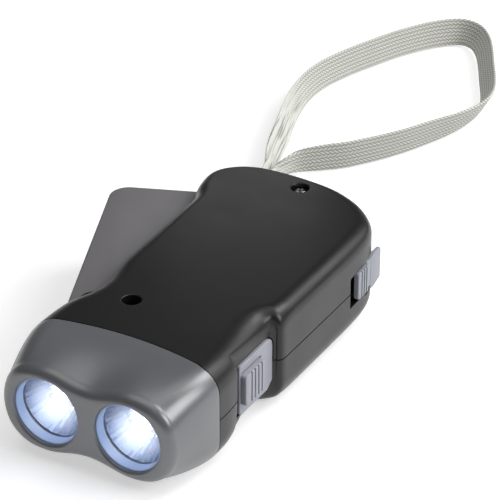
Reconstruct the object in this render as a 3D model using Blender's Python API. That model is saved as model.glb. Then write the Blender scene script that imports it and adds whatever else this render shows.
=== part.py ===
"""Hand-squeezed dynamo torch: two body shells, a two-lens head, a squeeze lever with a toothed
arm, a gear train that spins a ring magnet beside a coil, two sliders, cells, board and wrist strap.

Lengths are in metres. Pieces are drawn with Y measured rearwards from the front face of the head,
and all hang from one empty that puts the world origin under the middle of the flat base.
"""
import math

import bmesh
import bpy
from mathutils import Matrix, Vector

MM = 0.001

# Overall sizes
LENGTH = 107.85 * MM
HALF_WIDTH = 24.9 * MM
THICKNESS = 26.0 * MM
MID_Z = THICKNESS / 2
ORIGIN_FROM_FRONT = 58.0 * MM
WALL = 2.0 * MM
GAP = 0.3 * MM
RUNNING = 0.15 * MM
OVERRUN = 4.0 * MM
BITE = 0.4 * MM

# Body edges
FRONT_EDGE_RADIUS = 6.5 * MM
REAR_EDGE_RADIUS = 4.2 * MM
UNDERSIDE_EDGE_MORE = 1.0 * MM
EDGE_BLEND_START = 24.0 * MM
EDGE_BLEND_END = 46.0 * MM
EDGE_STEPS = 4

# Seam between head and body
SEAM_SIDE = 17.4 * MM
SEAM_BOW = 3.0 * MM
SEAM_FLAT_HALF = 22.0 * MM
SEAM_CENTRE_X = -1.5 * MM
SEAM_POINTS = 14

# Head
HEAD_DRAWN_TO = 24.0 * MM
HEAD_CENTRE_X = -0.15 * MM
HEAD_HALF_WIDTH = 24.95 * MM
LENS_OFFSET = 10.8 * MM
LENS_ABOVE_MIDDLE = 0.4 * MM
LENS_Z = MID_Z + LENS_ABOVE_MIDDLE
LOBE_RADIUS = 10.7 * MM
LOBE_HALF_WIDTH = 11.6 * MM
LOBE_VALLEY = 2.4 * MM
HEAD_TAPER_POWER = 1.6
NOSE_RADIUS = 2.6 * MM
HEAD_WALL = 1.8 * MM
LENS_OPENING = 8.5 * MM
LENS_SET_BACK = 4.0 * MM
POCKET_RADIUS = 9.6 * MM
HEAD_CAVITY_FRONT = 11.5 * MM
SPIGOT_FRONT = 12.8 * MM
SPIGOT_WALL = 1.6 * MM
SPIGOT_REAR = 23.8 * MM

# Lamps
WINDOW_THICK = 1.0 * MM
REFLECTOR_MOUTH = 8.0 * MM
REFLECTOR_THROAT = 2.9 * MM
REFLECTOR_DEPTH = 8.0 * MM
REFLECTOR_SKIN = 0.7 * MM
LAMP_RADIUS = 2.5 * MM
LAMP_FLANGE = 2.9 * MM
LAMP_LENGTH = 5.6 * MM
LAMP_FLANGE_THICK = 1.0 * MM
LAMP_BOARD_THICK = 1.2 * MM
LAMP_BOARD_HALF_WIDTH = 18.5 * MM
LAMP_BOARD_CLEARANCE = 1.3 * MM
LAMP_BOARD_HALF_HEIGHT = MID_Z - HEAD_WALL - GAP - SPIGOT_WALL - LAMP_BOARD_CLEARANCE

# Neck recess on the switch side
NECK_FLOOR_X = 21.0 * MM
NECK_FRONT = 26.8 * MM
NECK_REAR = 46.0 * MM
NECK_CORNER = 1.6 * MM
NECK_FLARE = 2.5 * MM
NECK_FLARE_BELOW = 1.2 * MM
NECK_INNER_X = 18.6 * MM
NECK_INNER_FRONT = 23.5 * MM
NECK_INNER_REAR = 49.0 * MM

# Squeeze lever, drawn closed about its pivot and then turned open
PIVOT_X = -17.0 * MM
PIVOT_Y = 31.5 * MM
LEVER_OPEN_DEG = 21.5
LEVER_REACH = 62.2 * MM
LEVER_OUT = 7.6 * MM
LEVER_WIDTH = 26.5 * MM
LEVER_CORNER = 5.0 * MM
LEVER_HALF_HEIGHT = 8.1 * MM
LEVER_PLATE = 1.5 * MM
LEVER_WALL = 1.8 * MM
LEVER_EDGE = 0.8 * MM
LEVER_EYE = 4.6 * MM
LEVER_REAR_WALL = 16.0 * MM
LEVER_WAIST_X = 3.6 * MM
LEVER_WAIST_Y = 8.0 * MM
LEVER_HIP_X = 8.0 * MM
LEVER_HIP_Y = 20.0 * MM
PIN_RADIUS = 1.5 * MM
PIVOT_BOSS = 3.6 * MM
LEVER_SLOT_FRONT = 23.4 * MM
LEVER_SLOT_BEHIND = 3.5 * MM
LEVER_SLOT_REAR = PIVOT_Y + LEVER_REACH + LEVER_SLOT_BEHIND
LEVER_SLOT_X = -19.0 * MM

# Catch on the lever's top plate
CATCH_FROM_REAR = 13.7 * MM
CATCH_TAB_FRONT = LEVER_REACH - CATCH_FROM_REAR
CATCH_TAB_WIDTH = 1.5 * MM
CATCH_REACH = 3.8 * MM
CATCH_FINGER_X = LEVER_WIDTH - LEVER_OUT + CATCH_REACH
CATCH_FINGER_WIDTH = 1.5 * MM
CATCH_FINGER_LENGTH = 3.0 * MM
CATCH_ROOT_DEPTH = 5.9 * MM
CATCH_ROOT_X = LEVER_WIDTH - LEVER_OUT - CATCH_ROOT_DEPTH

# Return spring round the pivot pin
SPRING_WIRE = 0.4 * MM
SPRING_RADIUS = 3.0 * MM
SPRING_PITCH = 1.5 * MM
SPRING_TURNS = 5
SPRING_POINTS = 10
SPRING_LEG = 9.0 * MM
SPRING_LEG_OUT = 2.2 * MM

# Gear train
PRESSURE_ANGLE = math.radians(25)
ADDENDUM_SHARE = 0.9
DEDENDUM_SHARE = 1.15
BACKLASH = 0.14 * MM
RACK_MODULE = 0.75 * MM
RACK_FULL_TEETH = 80
RACK_TEETH = 9
RACK_LAST_DEG = 67.0
RACK_BEAM_INNER = 25.2 * MM
RACK_FOOT_DEG = 93.0
RACK_END_DEG = 99.5
PINION_TEETH = 10
FIRST_WHEEL_MODULE = 0.6 * MM
FIRST_WHEEL_TEETH = 44
SECOND_WHEEL_MODULE = 0.5 * MM
SECOND_WHEEL_TEETH = 44
FIRST_DIRECTION_DEG = 60.0
SECOND_DIRECTION_DEG = 50.0
ROTOR_DIRECTION_DEG = 125.0
AXLE_RADIUS = 0.9 * MM
SHAFT_RADIUS = 0.75 * MM

# Levels of the train, upwards from the base
FRAME_HALF = 6.1 * MM
FRAME_BOTTOM = MID_Z - FRAME_HALF
FRAME_TOP = MID_Z + FRAME_HALF
FRAME_PLATE = 1.3 * MM
WHEEL_THICK = 2.0 * MM
WHEEL_CLEARANCE = 0.4 * MM
LOW_BOTTOM = FRAME_BOTTOM + FRAME_PLATE + WHEEL_CLEARANCE
LOW_TOP = LOW_BOTTOM + WHEEL_THICK
RACK_CLEARANCE = 0.6 * MM
RACK_THICK = 3.0 * MM
RACK_BOTTOM = LOW_TOP + RACK_CLEARANCE
RACK_TOP = RACK_BOTTOM + RACK_THICK
HIGH_CLEARANCE = 0.8 * MM
HIGH_BOTTOM = RACK_TOP + HIGH_CLEARANCE
HIGH_TOP = HIGH_BOTTOM + WHEEL_THICK
PINION_OVERLAP = 0.25 * MM

# Gear frame outline as shares of half width and of the train's length
FRAME_OUTLINE_SHARES = ((-0.34, 0.4383), (0.0, 0.4383), (0.84, 0.5623), (0.88, 0.7114), (0.835, 0.8033),
                        (0.835, 0.9339), (0.73, 0.9374), (0.58, 0.9639), (0.16, 1.0155), (-0.08, 1.004),
                        (-0.22, 0.895), (-0.22, 0.5967))
FRAME_POST_SHARES = ((0.743, 0.5818), (0.743, 0.9105), (-0.181, 0.4728))
POST_RADIUS = 2.3 * MM
FRAME_SCREW_RADIUS = 1.0 * MM
FRAME_SCREW_HEAD = 1.9 * MM
FRAME_SCREW_HEAD_THICK = 1.2 * MM
FRAME_SCREW_END = 3.2 * MM

# Generator
MAGNET_RADIUS = 7.0 * MM
MAGNET_BORE = 2.6 * MM
MAGNET_CLEARANCE = 0.6 * MM
MAGNET_HEIGHT = 5.5 * MM
MAGNET_BOTTOM = FRAME_BOTTOM + FRAME_PLATE + MAGNET_CLEARANCE
MAGNET_TOP = MAGNET_BOTTOM + MAGNET_HEIGHT
HUB_RADIUS = 2.3 * MM
POLE_GAP = 0.4 * MM
POLE_THICK = 2.0 * MM
POLE_RIGHT_DEG = (-42.0, 32.0)
POLE_LEFT_DEG = (98.0, 198.0)
CORE_WIDTH = 2.2 * MM
CORE_THICK = 2.6 * MM
CORE_ABOVE_MAGNET_FOOT = 2.4 * MM
CORE_BOTTOM = MAGNET_BOTTOM + CORE_ABOVE_MAGNET_FOOT
CORE_TOP = CORE_BOTTOM + CORE_THICK
CORE_PATH_SHARES = ((0.386, 0.9271), (0.558, 0.9358), (0.671, 0.9839), (0.229, 1.0588),
                    (0.108, 1.0086), (0.0, 0.9819))
COIL_RADIUS = 4.4 * MM
COIL_LENGTH = 8.0 * MM
COIL_TURNED_DEG = -32.5
BOBBIN_FLANGE = 4.6 * MM
BOBBIN_FLANGE_THICK = 0.8 * MM
BOBBIN_TUBE = 2.6 * MM
CORE_PAD_SHARES = ((0.585, 0.9456), (0.04, 0.996))
CORE_PAD_RADIUS = 1.0 * MM

# Case screws, front and rear, as places and depths
CASE_SCREW_SHARES = ((-0.345, 0.3167), (-0.016, 0.9371))
CASE_SCREW_SINK = (8.0 * MM, 2.4 * MM)
CASE_RECESS_RADIUS = 2.3 * MM
CASE_BOSS_RADIUS = 3.4 * MM
CASE_SCREW_HEAD = 2.0 * MM
CASE_SCREW_HEAD_THICK = 1.7 * MM
CASE_SCREW_RADIUS = 1.2 * MM
CASE_SCREW_TIP = 6.0 * MM
CROSS_WIDTH = 0.6 * MM
CROSS_DEPTH = 0.8 * MM
CROSS_LENGTH = 2.4 * MM

# Front switch slider
SWITCH_FRONT = 29.6 * MM
SWITCH_REAR = 44.9 * MM
SWITCH_HALF_HEIGHT = 6.8 * MM
SWITCH_ABOVE_MIDDLE = 0.1 * MM
SWITCH_LOW = MID_Z + SWITCH_ABOVE_MIDDLE - SWITCH_HALF_HEIGHT
SWITCH_HIGH = MID_Z + SWITCH_ABOVE_MIDDLE + SWITCH_HALF_HEIGHT
SWITCH_PLATE = 1.3 * MM
SWITCH_CORNER = 2.1 * MM
SWITCH_THUMB_FRONT = 30.6 * MM
SWITCH_THUMB_REAR = 38.9 * MM
SWITCH_THUMB_UP = 2.7 * MM
SWITCH_THUMB_DOWN = 3.0 * MM
SWITCH_THUMB_LOW = SWITCH_LOW + SWITCH_THUMB_UP
SWITCH_THUMB_HIGH = SWITCH_HIGH - SWITCH_THUMB_DOWN
SWITCH_THUMB_RISE = 1.9 * MM
SWITCH_STEM_LENGTH = 3.0 * MM
SWITCH_STEM_HEIGHT = 3.0 * MM
SWITCH_TRAVEL = 2.5 * MM
RIB_COUNT = 5
RIB_GROOVE = 0.5 * MM

# Slide switch can on the board
SWITCH_CAN_X = 14.9 * MM
SWITCH_CAN_DEPTH = 3.4 * MM
SWITCH_CAN_LENGTH = 11.0 * MM
SWITCH_CAN_HEIGHT = 5.2 * MM
SWITCH_CAN_NOTCH = 1.8 * MM

# Rear lock slider
LOCK_FROM_REAR = 10.55 * MM
LOCK_LENGTH = 13.3 * MM
LOCK_REAR = LENGTH - LOCK_FROM_REAR
LOCK_FRONT = LOCK_REAR - LOCK_LENGTH
LOCK_HEIGHT = 7.7 * MM
LOCK_BELOW_MIDDLE = 3.8 * MM
LOCK_LOW = MID_Z - LOCK_BELOW_MIDDLE
LOCK_HIGH = LOCK_LOW + LOCK_HEIGHT
LOCK_X = 22.9 * MM
LOCK_PLATE = 1.4 * MM
LOCK_CORNER = 0.6 * MM
LOCK_THUMB_LENGTH = 5.3 * MM
LOCK_THUMB_REAR = LOCK_FRONT + LOCK_THUMB_LENGTH
LOCK_THUMB_RISE = 1.0 * MM
LOCK_TAIL_LENGTH = 4.3 * MM
LOCK_TAIL_FRONT = LOCK_REAR - LOCK_TAIL_LENGTH
LOCK_TAIL_BELOW = 1.0 * MM
LOCK_TAIL_ABOVE = 0.9 * MM
LOCK_TAIL_LOW = LOCK_LOW - LOCK_TAIL_BELOW
LOCK_TAIL_HIGH = LOCK_HIGH + LOCK_TAIL_ABOVE
LOCK_TAIL_X = 23.4 * MM
LOCK_TAIL_CORNER = 1.4 * MM
LOCK_TRAVEL = 2.6 * MM
LOCK_SLOT_SPARE = 0.4 * MM
LOCK_SLOT_FRONT = LOCK_FRONT - LOCK_TRAVEL - LOCK_SLOT_SPARE
LOCK_PAD = 1.4 * MM
LOCK_RIBS = 4
TONGUE_THICK = 1.2 * MM
TONGUE_DROP = 0.2 * MM
TONGUE_TOP = MID_Z + LEVER_HALF_HEIGHT - TONGUE_DROP
TONGUE_BOTTOM = TONGUE_TOP - TONGUE_THICK
TONGUE_WIDTH = 2.0 * MM
TONGUE_BEHIND = 6.6 * MM
TONGUE_FRONT = LOCK_FRONT + TONGUE_BEHIND
TONGUE_REAR = TONGUE_FRONT + TONGUE_WIDTH
TONGUE_TIP_X = 2.6 * MM
TONGUE_TIP_WIDTH = 2.0 * MM
TONGUE_TIP_LENGTH = 3.7 * MM
TONGUE_TIP_FRONT = TONGUE_FRONT - TONGUE_TIP_LENGTH
STEM_X = 18.8 * MM
STEM_WIDTH = 2.0 * MM
STEM_BELOW_MIDDLE = 1.0 * MM
STEM_ABOVE_MIDDLE = 3.0 * MM
STEM_LOW = MID_Z - STEM_BELOW_MIDDLE
STEM_HIGH = MID_Z + STEM_ABOVE_MIDDLE

# Cells, holder and main board
CELL_RADIUS = 5.8 * MM
CELL_THICK = 5.0 * MM
CELL_COUNT = 3
CELL_FIRST_X = -3.4 * MM
CELL_Y = 30.6 * MM
CELL_BELOW_MIDDLE = 4.0 * MM
CELL_Z = MID_Z - CELL_BELOW_MIDDLE
HOLDER_BOTTOM = WALL + GAP
HOLDER_BELOW_CELLS = 1.0 * MM
HOLDER_TOP = CELL_Z - HOLDER_BELOW_CELLS
HOLDER_SIDE = 1.0 * MM
BOARD_ABOVE_MIDDLE = 3.4 * MM
BOARD_BOTTOM = MID_Z + BOARD_ABOVE_MIDDLE
BOARD_THICK = 1.2 * MM
BOARD_LEFT = -3.4 * MM
BOARD_RIGHT = 18.0 * MM
BOARD_FRONT = 25.4 * MM
BOARD_REAR = 40.6 * MM

# Strap and its pin
STRAP_PIN_X = -15.8 * MM
STRAP_PIN_FROM_REAR = 7.25 * MM
STRAP_PIN_Y = LENGTH - STRAP_PIN_FROM_REAR
STRAP_PIN_RADIUS = 1.2 * MM
STRAP_BOSS = 2.4 * MM
STRAP_BOSS_HEIGHT = 4.6 * MM
STRAP_HALF_THICK = 0.6 * MM
STRAP_WIDTH = 8.0 * MM
STRAP_POINTS = 76
STRAP_SLOT_X = -19.0 * MM
STRAP_SLOT_FROM_REAR = 2.65 * MM
STRAP_SLOT_Y = LENGTH - STRAP_SLOT_FROM_REAR
STRAP_SLOT_TURN_DEG = 30.0
STRAP_SLOT_HALF_WIDTH = 2.6 * MM
STRAP_SLOT_HALF_HEIGHT = 4.6 * MM
STRAP_SLOT_DEPTH = 9.0 * MM
STRAP_ROUTE_MM = (
    (-16.2, 103.6, 13.0), (-18.3, 107.9, 12.9), (-21.6, 114.0, 11.4), (-25.2, 122.5, 8.2),
    (-28.6, 132.0, 5.2), (-30.2, 140.5, 4.5), (-27.4, 148.9, 4.4), (-22.0, 154.4, 4.4),
    (-16.5, 159.8, 4.4), (-8.6, 171.4, 4.4), (-2.8, 183.2, 4.4), (0.9, 192.0, 4.4),
    (2.6, 200.8, 4.4), (1.9, 208.4, 4.4), (-1.0, 215.9, 4.4), (-5.4, 224.4, 4.4),
    (-9.6, 232.6, 4.4), (-13.9, 239.8, 4.4), (-18.6, 244.6, 4.4), (-24.2, 245.2, 4.4),
    (-30.4, 239.4, 4.4), (-36.2, 229.5, 4.4), (-40.0, 220.4, 4.4), (-43.4, 211.0, 4.4),
    (-46.1, 200.4, 4.4), (-46.5, 190.8, 4.4), (-44.6, 180.4, 4.4), (-41.6, 171.0, 4.4),
    (-38.2, 161.8, 4.4), (-34.8, 150.4, 4.4), (-32.4, 141.4, 4.5), (-30.8, 131.6, 5.2),
    (-27.2, 121.6, 8.2), (-23.4, 112.8, 11.4), (-20.0, 106.6, 12.9), (-18.0, 102.8, 13.0))

# Inner leads
LEAD_RADIUS = 0.5 * MM

# Body outline, switch side from the front round the rear to the lever side, as shares
BODY_OUTLINE_SHARES = (
    (0.994, 0.0742), (0.994, 0.1573), (1.0, 0.2888), (0.997, 0.4262), (1.0, 0.5567), (1.0, 0.6672),
    (0.998, 0.7604), (0.978, 0.8352), (0.921, 0.8822), (0.796, 0.9181), (0.619, 0.9506), (0.363, 0.9798),
    (0.103, 0.994), (-0.199, 1.0), (-0.507, 0.999), (-0.661, 0.9918), (-0.813, 0.9754),
    (-0.958, 0.9446), (-1.018, 0.9132), (-1.024, 0.884), (-0.994, 0.8425), (-0.942, 0.814),
    (-0.908, 0.7867), (-0.892, 0.6742), (-0.876, 0.5477), (-0.864, 0.4282), (-0.86, 0.3635),
    (-0.888, 0.3236), (-0.946, 0.2918), (-0.986, 0.2569), (-1.004, 0.2091), (-1.008, 0.1573),
    (-1.008, 0.0742))
OUTLINE_STEPS = 2

ROUND_SIDES = 24
SMALL_SIDES = 16


def train_place(shares):
    """A point in the plan from shares of half width and of the train's length."""
    length = train_places()[-1][1] + MAGNET_RADIUS + POLE_GAP + POLE_THICK
    return (shares[0] * HALF_WIDTH, shares[1] * length)


def place(shares):
    """A point in the plan from shares of half width and length."""
    return (shares[0] * HALF_WIDTH, shares[1] * LENGTH)


def linear(channel):
    """One colour channel from its screen value."""
    return channel / 12.92 if channel <= 0.04045 else ((channel + 0.055) / 1.055) ** 2.4


def material(name, colour, roughness, metallic=0.0):
    """A plain surface with its colour, roughness and metallic value."""
    made = bpy.data.materials.new(name)
    made.use_nodes = True
    surface = made.node_tree.nodes["Principled BSDF"]
    channels = [linear(int(colour[i:i + 2], 16) / 255) for i in (1, 3, 5)]
    surface.inputs["Base Color"].default_value = (*channels, 1.0)
    surface.inputs["Roughness"].default_value = roughness
    surface.inputs["Metallic"].default_value = metallic
    made.diffuse_color = (*channels, 1.0)
    return made


def mesh_object(name, points, faces, finish=None, parent=None, location=(0, 0, 0), turn=0.0, smooth=30.0):
    """An object from points and faces, its faces made to point outwards."""
    mesh = bpy.data.meshes.new(name)
    mesh.from_pydata([tuple(p) for p in points], [], faces)
    shape = bmesh.new()
    shape.from_mesh(mesh)
    bmesh.ops.recalc_face_normals(shape, faces=shape.faces)
    if shape.calc_volume(signed=True) < 0:
        bmesh.ops.reverse_faces(shape, faces=shape.faces)
    shape.to_mesh(mesh)
    shape.free()
    made = bpy.data.objects.new(name, mesh)
    bpy.context.collection.objects.link(made)
    made.location = location
    made.rotation_euler = (0, 0, turn)
    made.parent = parent
    if finish:
        mesh.materials.append(finish)
    mesh.shade_smooth()
    mesh.set_sharp_from_angle(angle=math.radians(smooth))
    return made


def skin(rings):
    """Points and faces of a closed body through rings of equal length, capped at both ends."""
    count = len(rings[0])
    points = [p for ring in rings for p in ring]
    faces = [tuple(range(count))]
    for level in range(len(rings) - 1):
        low = level * count
        high = low + count
        for i in range(count):
            j = (i + 1) % count
            faces.append((low + i, low + j, high + j, high + i))
    last = (len(rings) - 1) * count
    faces.append(tuple(range(last + count - 1, last - 1, -1)))
    return points, faces


def prism(name, outline, low, high, **how):
    """A plan outline raised from one height to another."""
    rings = [[(x, y, z) for x, y in outline] for z in (low, high)]
    return mesh_object(name, *skin(rings), **how)


def box(name, low, high, **how):
    """A block between two corners."""
    outline = ((low[0], low[1]), (high[0], low[1]), (high[0], high[1]), (low[0], high[1]))
    return prism(name, outline, low[2], high[2], **how)


def circle(radius, sides, centre=(0, 0), start=0.0):
    """Points round a circle in the plan."""
    step = math.tau / sides
    return [(centre[0] + radius * math.cos(start + step * i), centre[1] + radius * math.sin(start + step * i))
            for i in range(sides)]


def post(name, centre, radius, low, high, sides=ROUND_SIDES, **how):
    """A round upright bar."""
    return prism(name, circle(radius, sides, centre), low, high, **how)


def turned(name, profile, sides=ROUND_SIDES, along_y=False, **how):
    """A closed profile of (radius, height) pairs turned a full turn, with its bore left open."""
    step = math.tau / sides
    count = len(profile)
    points = []
    for i in range(sides):
        cos, sin = math.cos(step * i), math.sin(step * i)
        for radius, height in profile:
            spot = (radius * cos, radius * sin, height)
            points.append((spot[0], spot[2], spot[1]) if along_y else spot)
    faces = []
    for i in range(sides):
        here = i * count
        there = ((i + 1) % sides) * count
        for k in range(count):
            n = (k + 1) % count
            faces.append((here + k, here + n, there + n, there + k))
    return mesh_object(name, points, faces, **how)


def stacked(name, levels, sides=ROUND_SIDES, along_y=False, **how):
    """A solid turned body from (radius, height) pairs, capped flat at both ends."""
    rings = []
    for radius, height in levels:
        ring = [(x, y, height) for x, y in circle(radius, sides)]
        rings.append([(x, z, y) for x, y, z in ring] if along_y else ring)
    return mesh_object(name, *skin(rings), **how)


def combine(target, tool, operation):
    """Cuts a tool out of a target or joins it on, and removes the tool."""
    change = target.modifiers.new(operation, "BOOLEAN")
    change.operation = operation
    change.object = tool
    change.solver = "EXACT"
    bpy.context.view_layer.update()
    seen = target.evaluated_get(bpy.context.evaluated_depsgraph_get())
    shaped = bpy.data.meshes.new_from_object(seen)
    old = target.data
    target.modifiers.clear()
    target.data = shaped
    bpy.data.meshes.remove(old)
    bpy.data.objects.remove(tool)
    shaped.shade_smooth()
    shaped.set_sharp_from_angle(angle=math.radians(30))
    return target


def cut(target, tool):
    """The target with the tool's space taken out."""
    return combine(target, tool, "DIFFERENCE")


def join(target, tool):
    """The target with the tool's body added."""
    return combine(target, tool, "UNION")


def curve_through(spots, share):
    """A point on the smooth curve through the spots, at a share of their count."""
    spans = len(spots) - 1
    place_on = min(share * spans, spans - 1e-9)
    i = int(place_on)
    t = place_on - i
    a, b, c, d = (Vector(spots[min(max(k, 0), spans)]) for k in (i - 1, i, i + 1, i + 2))
    square = 2 * a - 5 * b + 4 * c - d
    cube = 3 * b - a - 3 * c + d
    return 0.5 * (2 * b + (c - a) * t + square * t * t + cube * t ** 3)


def body_curve():
    """Plan points of the body's side wall, from the switch side round to the lever side."""
    spots = [Vector((*place(s), 0)) for s in BODY_OUTLINE_SHARES]
    total = (len(spots) - 1) * OUTLINE_STEPS
    return [curve_through(spots, i / total) for i in range(total + 1)]


def outward(points):
    """Unit normals of an open plan curve that runs anticlockwise round the body."""
    found = []
    for i in range(len(points)):
        before, after = points[max(i - 1, 0)], points[min(i + 1, len(points) - 1)]
        along = (after - before).normalized()
        found.append(Vector((along.y, -along.x, 0)))
    found[0] = Vector((1, 0, 0))
    found[-1] = Vector((-1, 0, 0))
    return found


def edge_radius(y, upward):
    """Radius of the body's top or bottom edge at a place along it."""
    share = min(max((y - EDGE_BLEND_START) / (EDGE_BLEND_END - EDGE_BLEND_START), 0), 1)
    radius = FRONT_EDGE_RADIUS + (REAR_EDGE_RADIUS - FRONT_EDGE_RADIUS) * share
    return radius if upward > 0 else radius + UNDERSIDE_EDGE_MORE


def shell_body(name, curve, thinner, parting, outer_z, upward, **how):
    """Half of the body with a rounded outer edge, its edge radius less by a given amount."""
    normals = outward(curve)
    rings = [[p + Vector((0, 0, parting)) for p in curve]]
    for k in range(EDGE_STEPS + 1):
        angle = math.pi / 2 * k / EDGE_STEPS
        ring = []
        for p, n in zip(curve, normals):
            radius = edge_radius(p.y, upward) - thinner
            height = outer_z - upward * radius * (1 - math.sin(angle))
            spot = p - n * radius * (1 - math.cos(angle))
            ring.append(Vector((spot.x, spot.y, height)))
        rings.append(ring)
    return mesh_object(name, *skin(rings), **how)


def seam_y(x):
    """How far back the seam between head and body lies at a place across."""
    return SEAM_SIDE + SEAM_BOW * (1 - min(1, abs(x - SEAM_CENTRE_X) / SEAM_FLAT_HALF) ** 2)


def seam_tool(name, gap, front):
    """A block that ends at the seam, all before it or all behind it."""
    half = HALF_WIDTH + OVERRUN
    spots = [(-half + 2 * half * i / SEAM_POINTS) for i in range(SEAM_POINTS + 1)]
    line = [(x, seam_y(x) + gap) for x in spots]
    end = -OVERRUN if front else HEAD_DRAWN_TO + OVERRUN
    return prism(name, line + [(half, end), (-half, end)], -OVERRUN, THICKNESS + OVERRUN)


def front_section(inset):
    """The body's section just behind the head, as (x, z) points, set in all round."""
    spots = []
    for sx, sz, start in ((1, 1, 0), (-1, 1, 1), (-1, -1, 2), (1, -1, 3)):
        radius = edge_radius(0, sz) - inset
        half_x = HEAD_HALF_WIDTH - inset - radius
        half_z = MID_Z - inset - radius
        for k in range(EDGE_STEPS + 1):
            angle = math.pi / 2 * (start + k / EDGE_STEPS)
            spots.append((HEAD_CENTRE_X + sx * half_x + radius * math.cos(angle),
                          MID_Z + sz * half_z + radius * math.sin(angle)))
    return spots


def section_bar(name, inset, front, rear):
    """The front section drawn along the torch from one place to another."""
    rings = [[(x, y, z) for x, z in front_section(inset)] for y in (front, rear)]
    return mesh_object(name, *skin(rings))


def cavity_curve(curve):
    """Plan curve of the hollow inside the shells, drawn in beside the neck recess."""
    inside = [p - n * WALL for p, n in zip(curve, outward(curve))]
    kept = [p for p in inside if p.y > NECK_INNER_REAR or (p.x < 0 and p.y > NECK_INNER_FRONT)]
    step = [Vector((NECK_INNER_X, NECK_INNER_FRONT, 0)), Vector((NECK_INNER_X, NECK_INNER_REAR - WALL, 0))]
    end = Vector((kept[-1].x, NECK_INNER_FRONT, 0))
    return step + kept + [end]


def neck_tool():
    """The scoop taken out of the switch side, flared at top and bottom."""
    rings = []
    centre_y = (NECK_FRONT + NECK_REAR) / 2
    half_y = (NECK_REAR - NECK_FRONT) / 2
    levels = [(-BITE, NECK_FLARE_BELOW)]
    turns = [math.pi / 2 * k / EDGE_STEPS for k in range(EDGE_STEPS + 1)]
    for turn in turns:
        levels.append((NECK_FLARE_BELOW * (1 - math.cos(turn)), NECK_FLARE_BELOW * (1 - math.sin(turn))))
    for turn in reversed(turns):
        levels.append((THICKNESS - NECK_FLARE * (1 - math.cos(turn)), NECK_FLARE * (1 - math.sin(turn))))
    levels.append((THICKNESS + BITE, NECK_FLARE))
    for z, flare in levels:
        corner = NECK_CORNER + flare
        inner = NECK_FLOOR_X - flare
        front, rear = centre_y - half_y - flare, centre_y + half_y + flare
        ring = [(HALF_WIDTH + OVERRUN, front, z), (HALF_WIDTH + OVERRUN, rear, z)]
        for k in range(EDGE_STEPS + 1):
            angle = math.pi / 2 + math.pi / 2 * k / EDGE_STEPS
            across = inner + corner + corner * math.cos(angle)
            ring.append((across, rear - corner + corner * math.sin(angle), z))
        ring.append((inner, front, z))
        rings.append(ring)
    return mesh_object("neck_tool", *skin(rings))


def half_gap(upward):
    """The parting height of a shell, half a gap off the middle."""
    return MID_Z + upward * GAP / 2


def lift(z, upward):
    """A height given from the outer face of the shell, as a world height."""
    return THICKNESS - z if upward > 0 else z


def add_boss(shell, name, centre, radius, tall, upward, sides=ROUND_SIDES):
    """Joins a round boss on the inside of a shell, as tall as given from the outer face."""
    ends = sorted((lift(WALL / 2, upward), lift(tall, upward)))
    return join(shell, post(name, centre, radius, *ends, sides=sides))


def drill(shell, name, centre, radius, low, high, sides=SMALL_SIDES):
    """Cuts an upright round hole between two heights."""
    return cut(shell, post(name, centre, radius, low, high, sides=sides))


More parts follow.
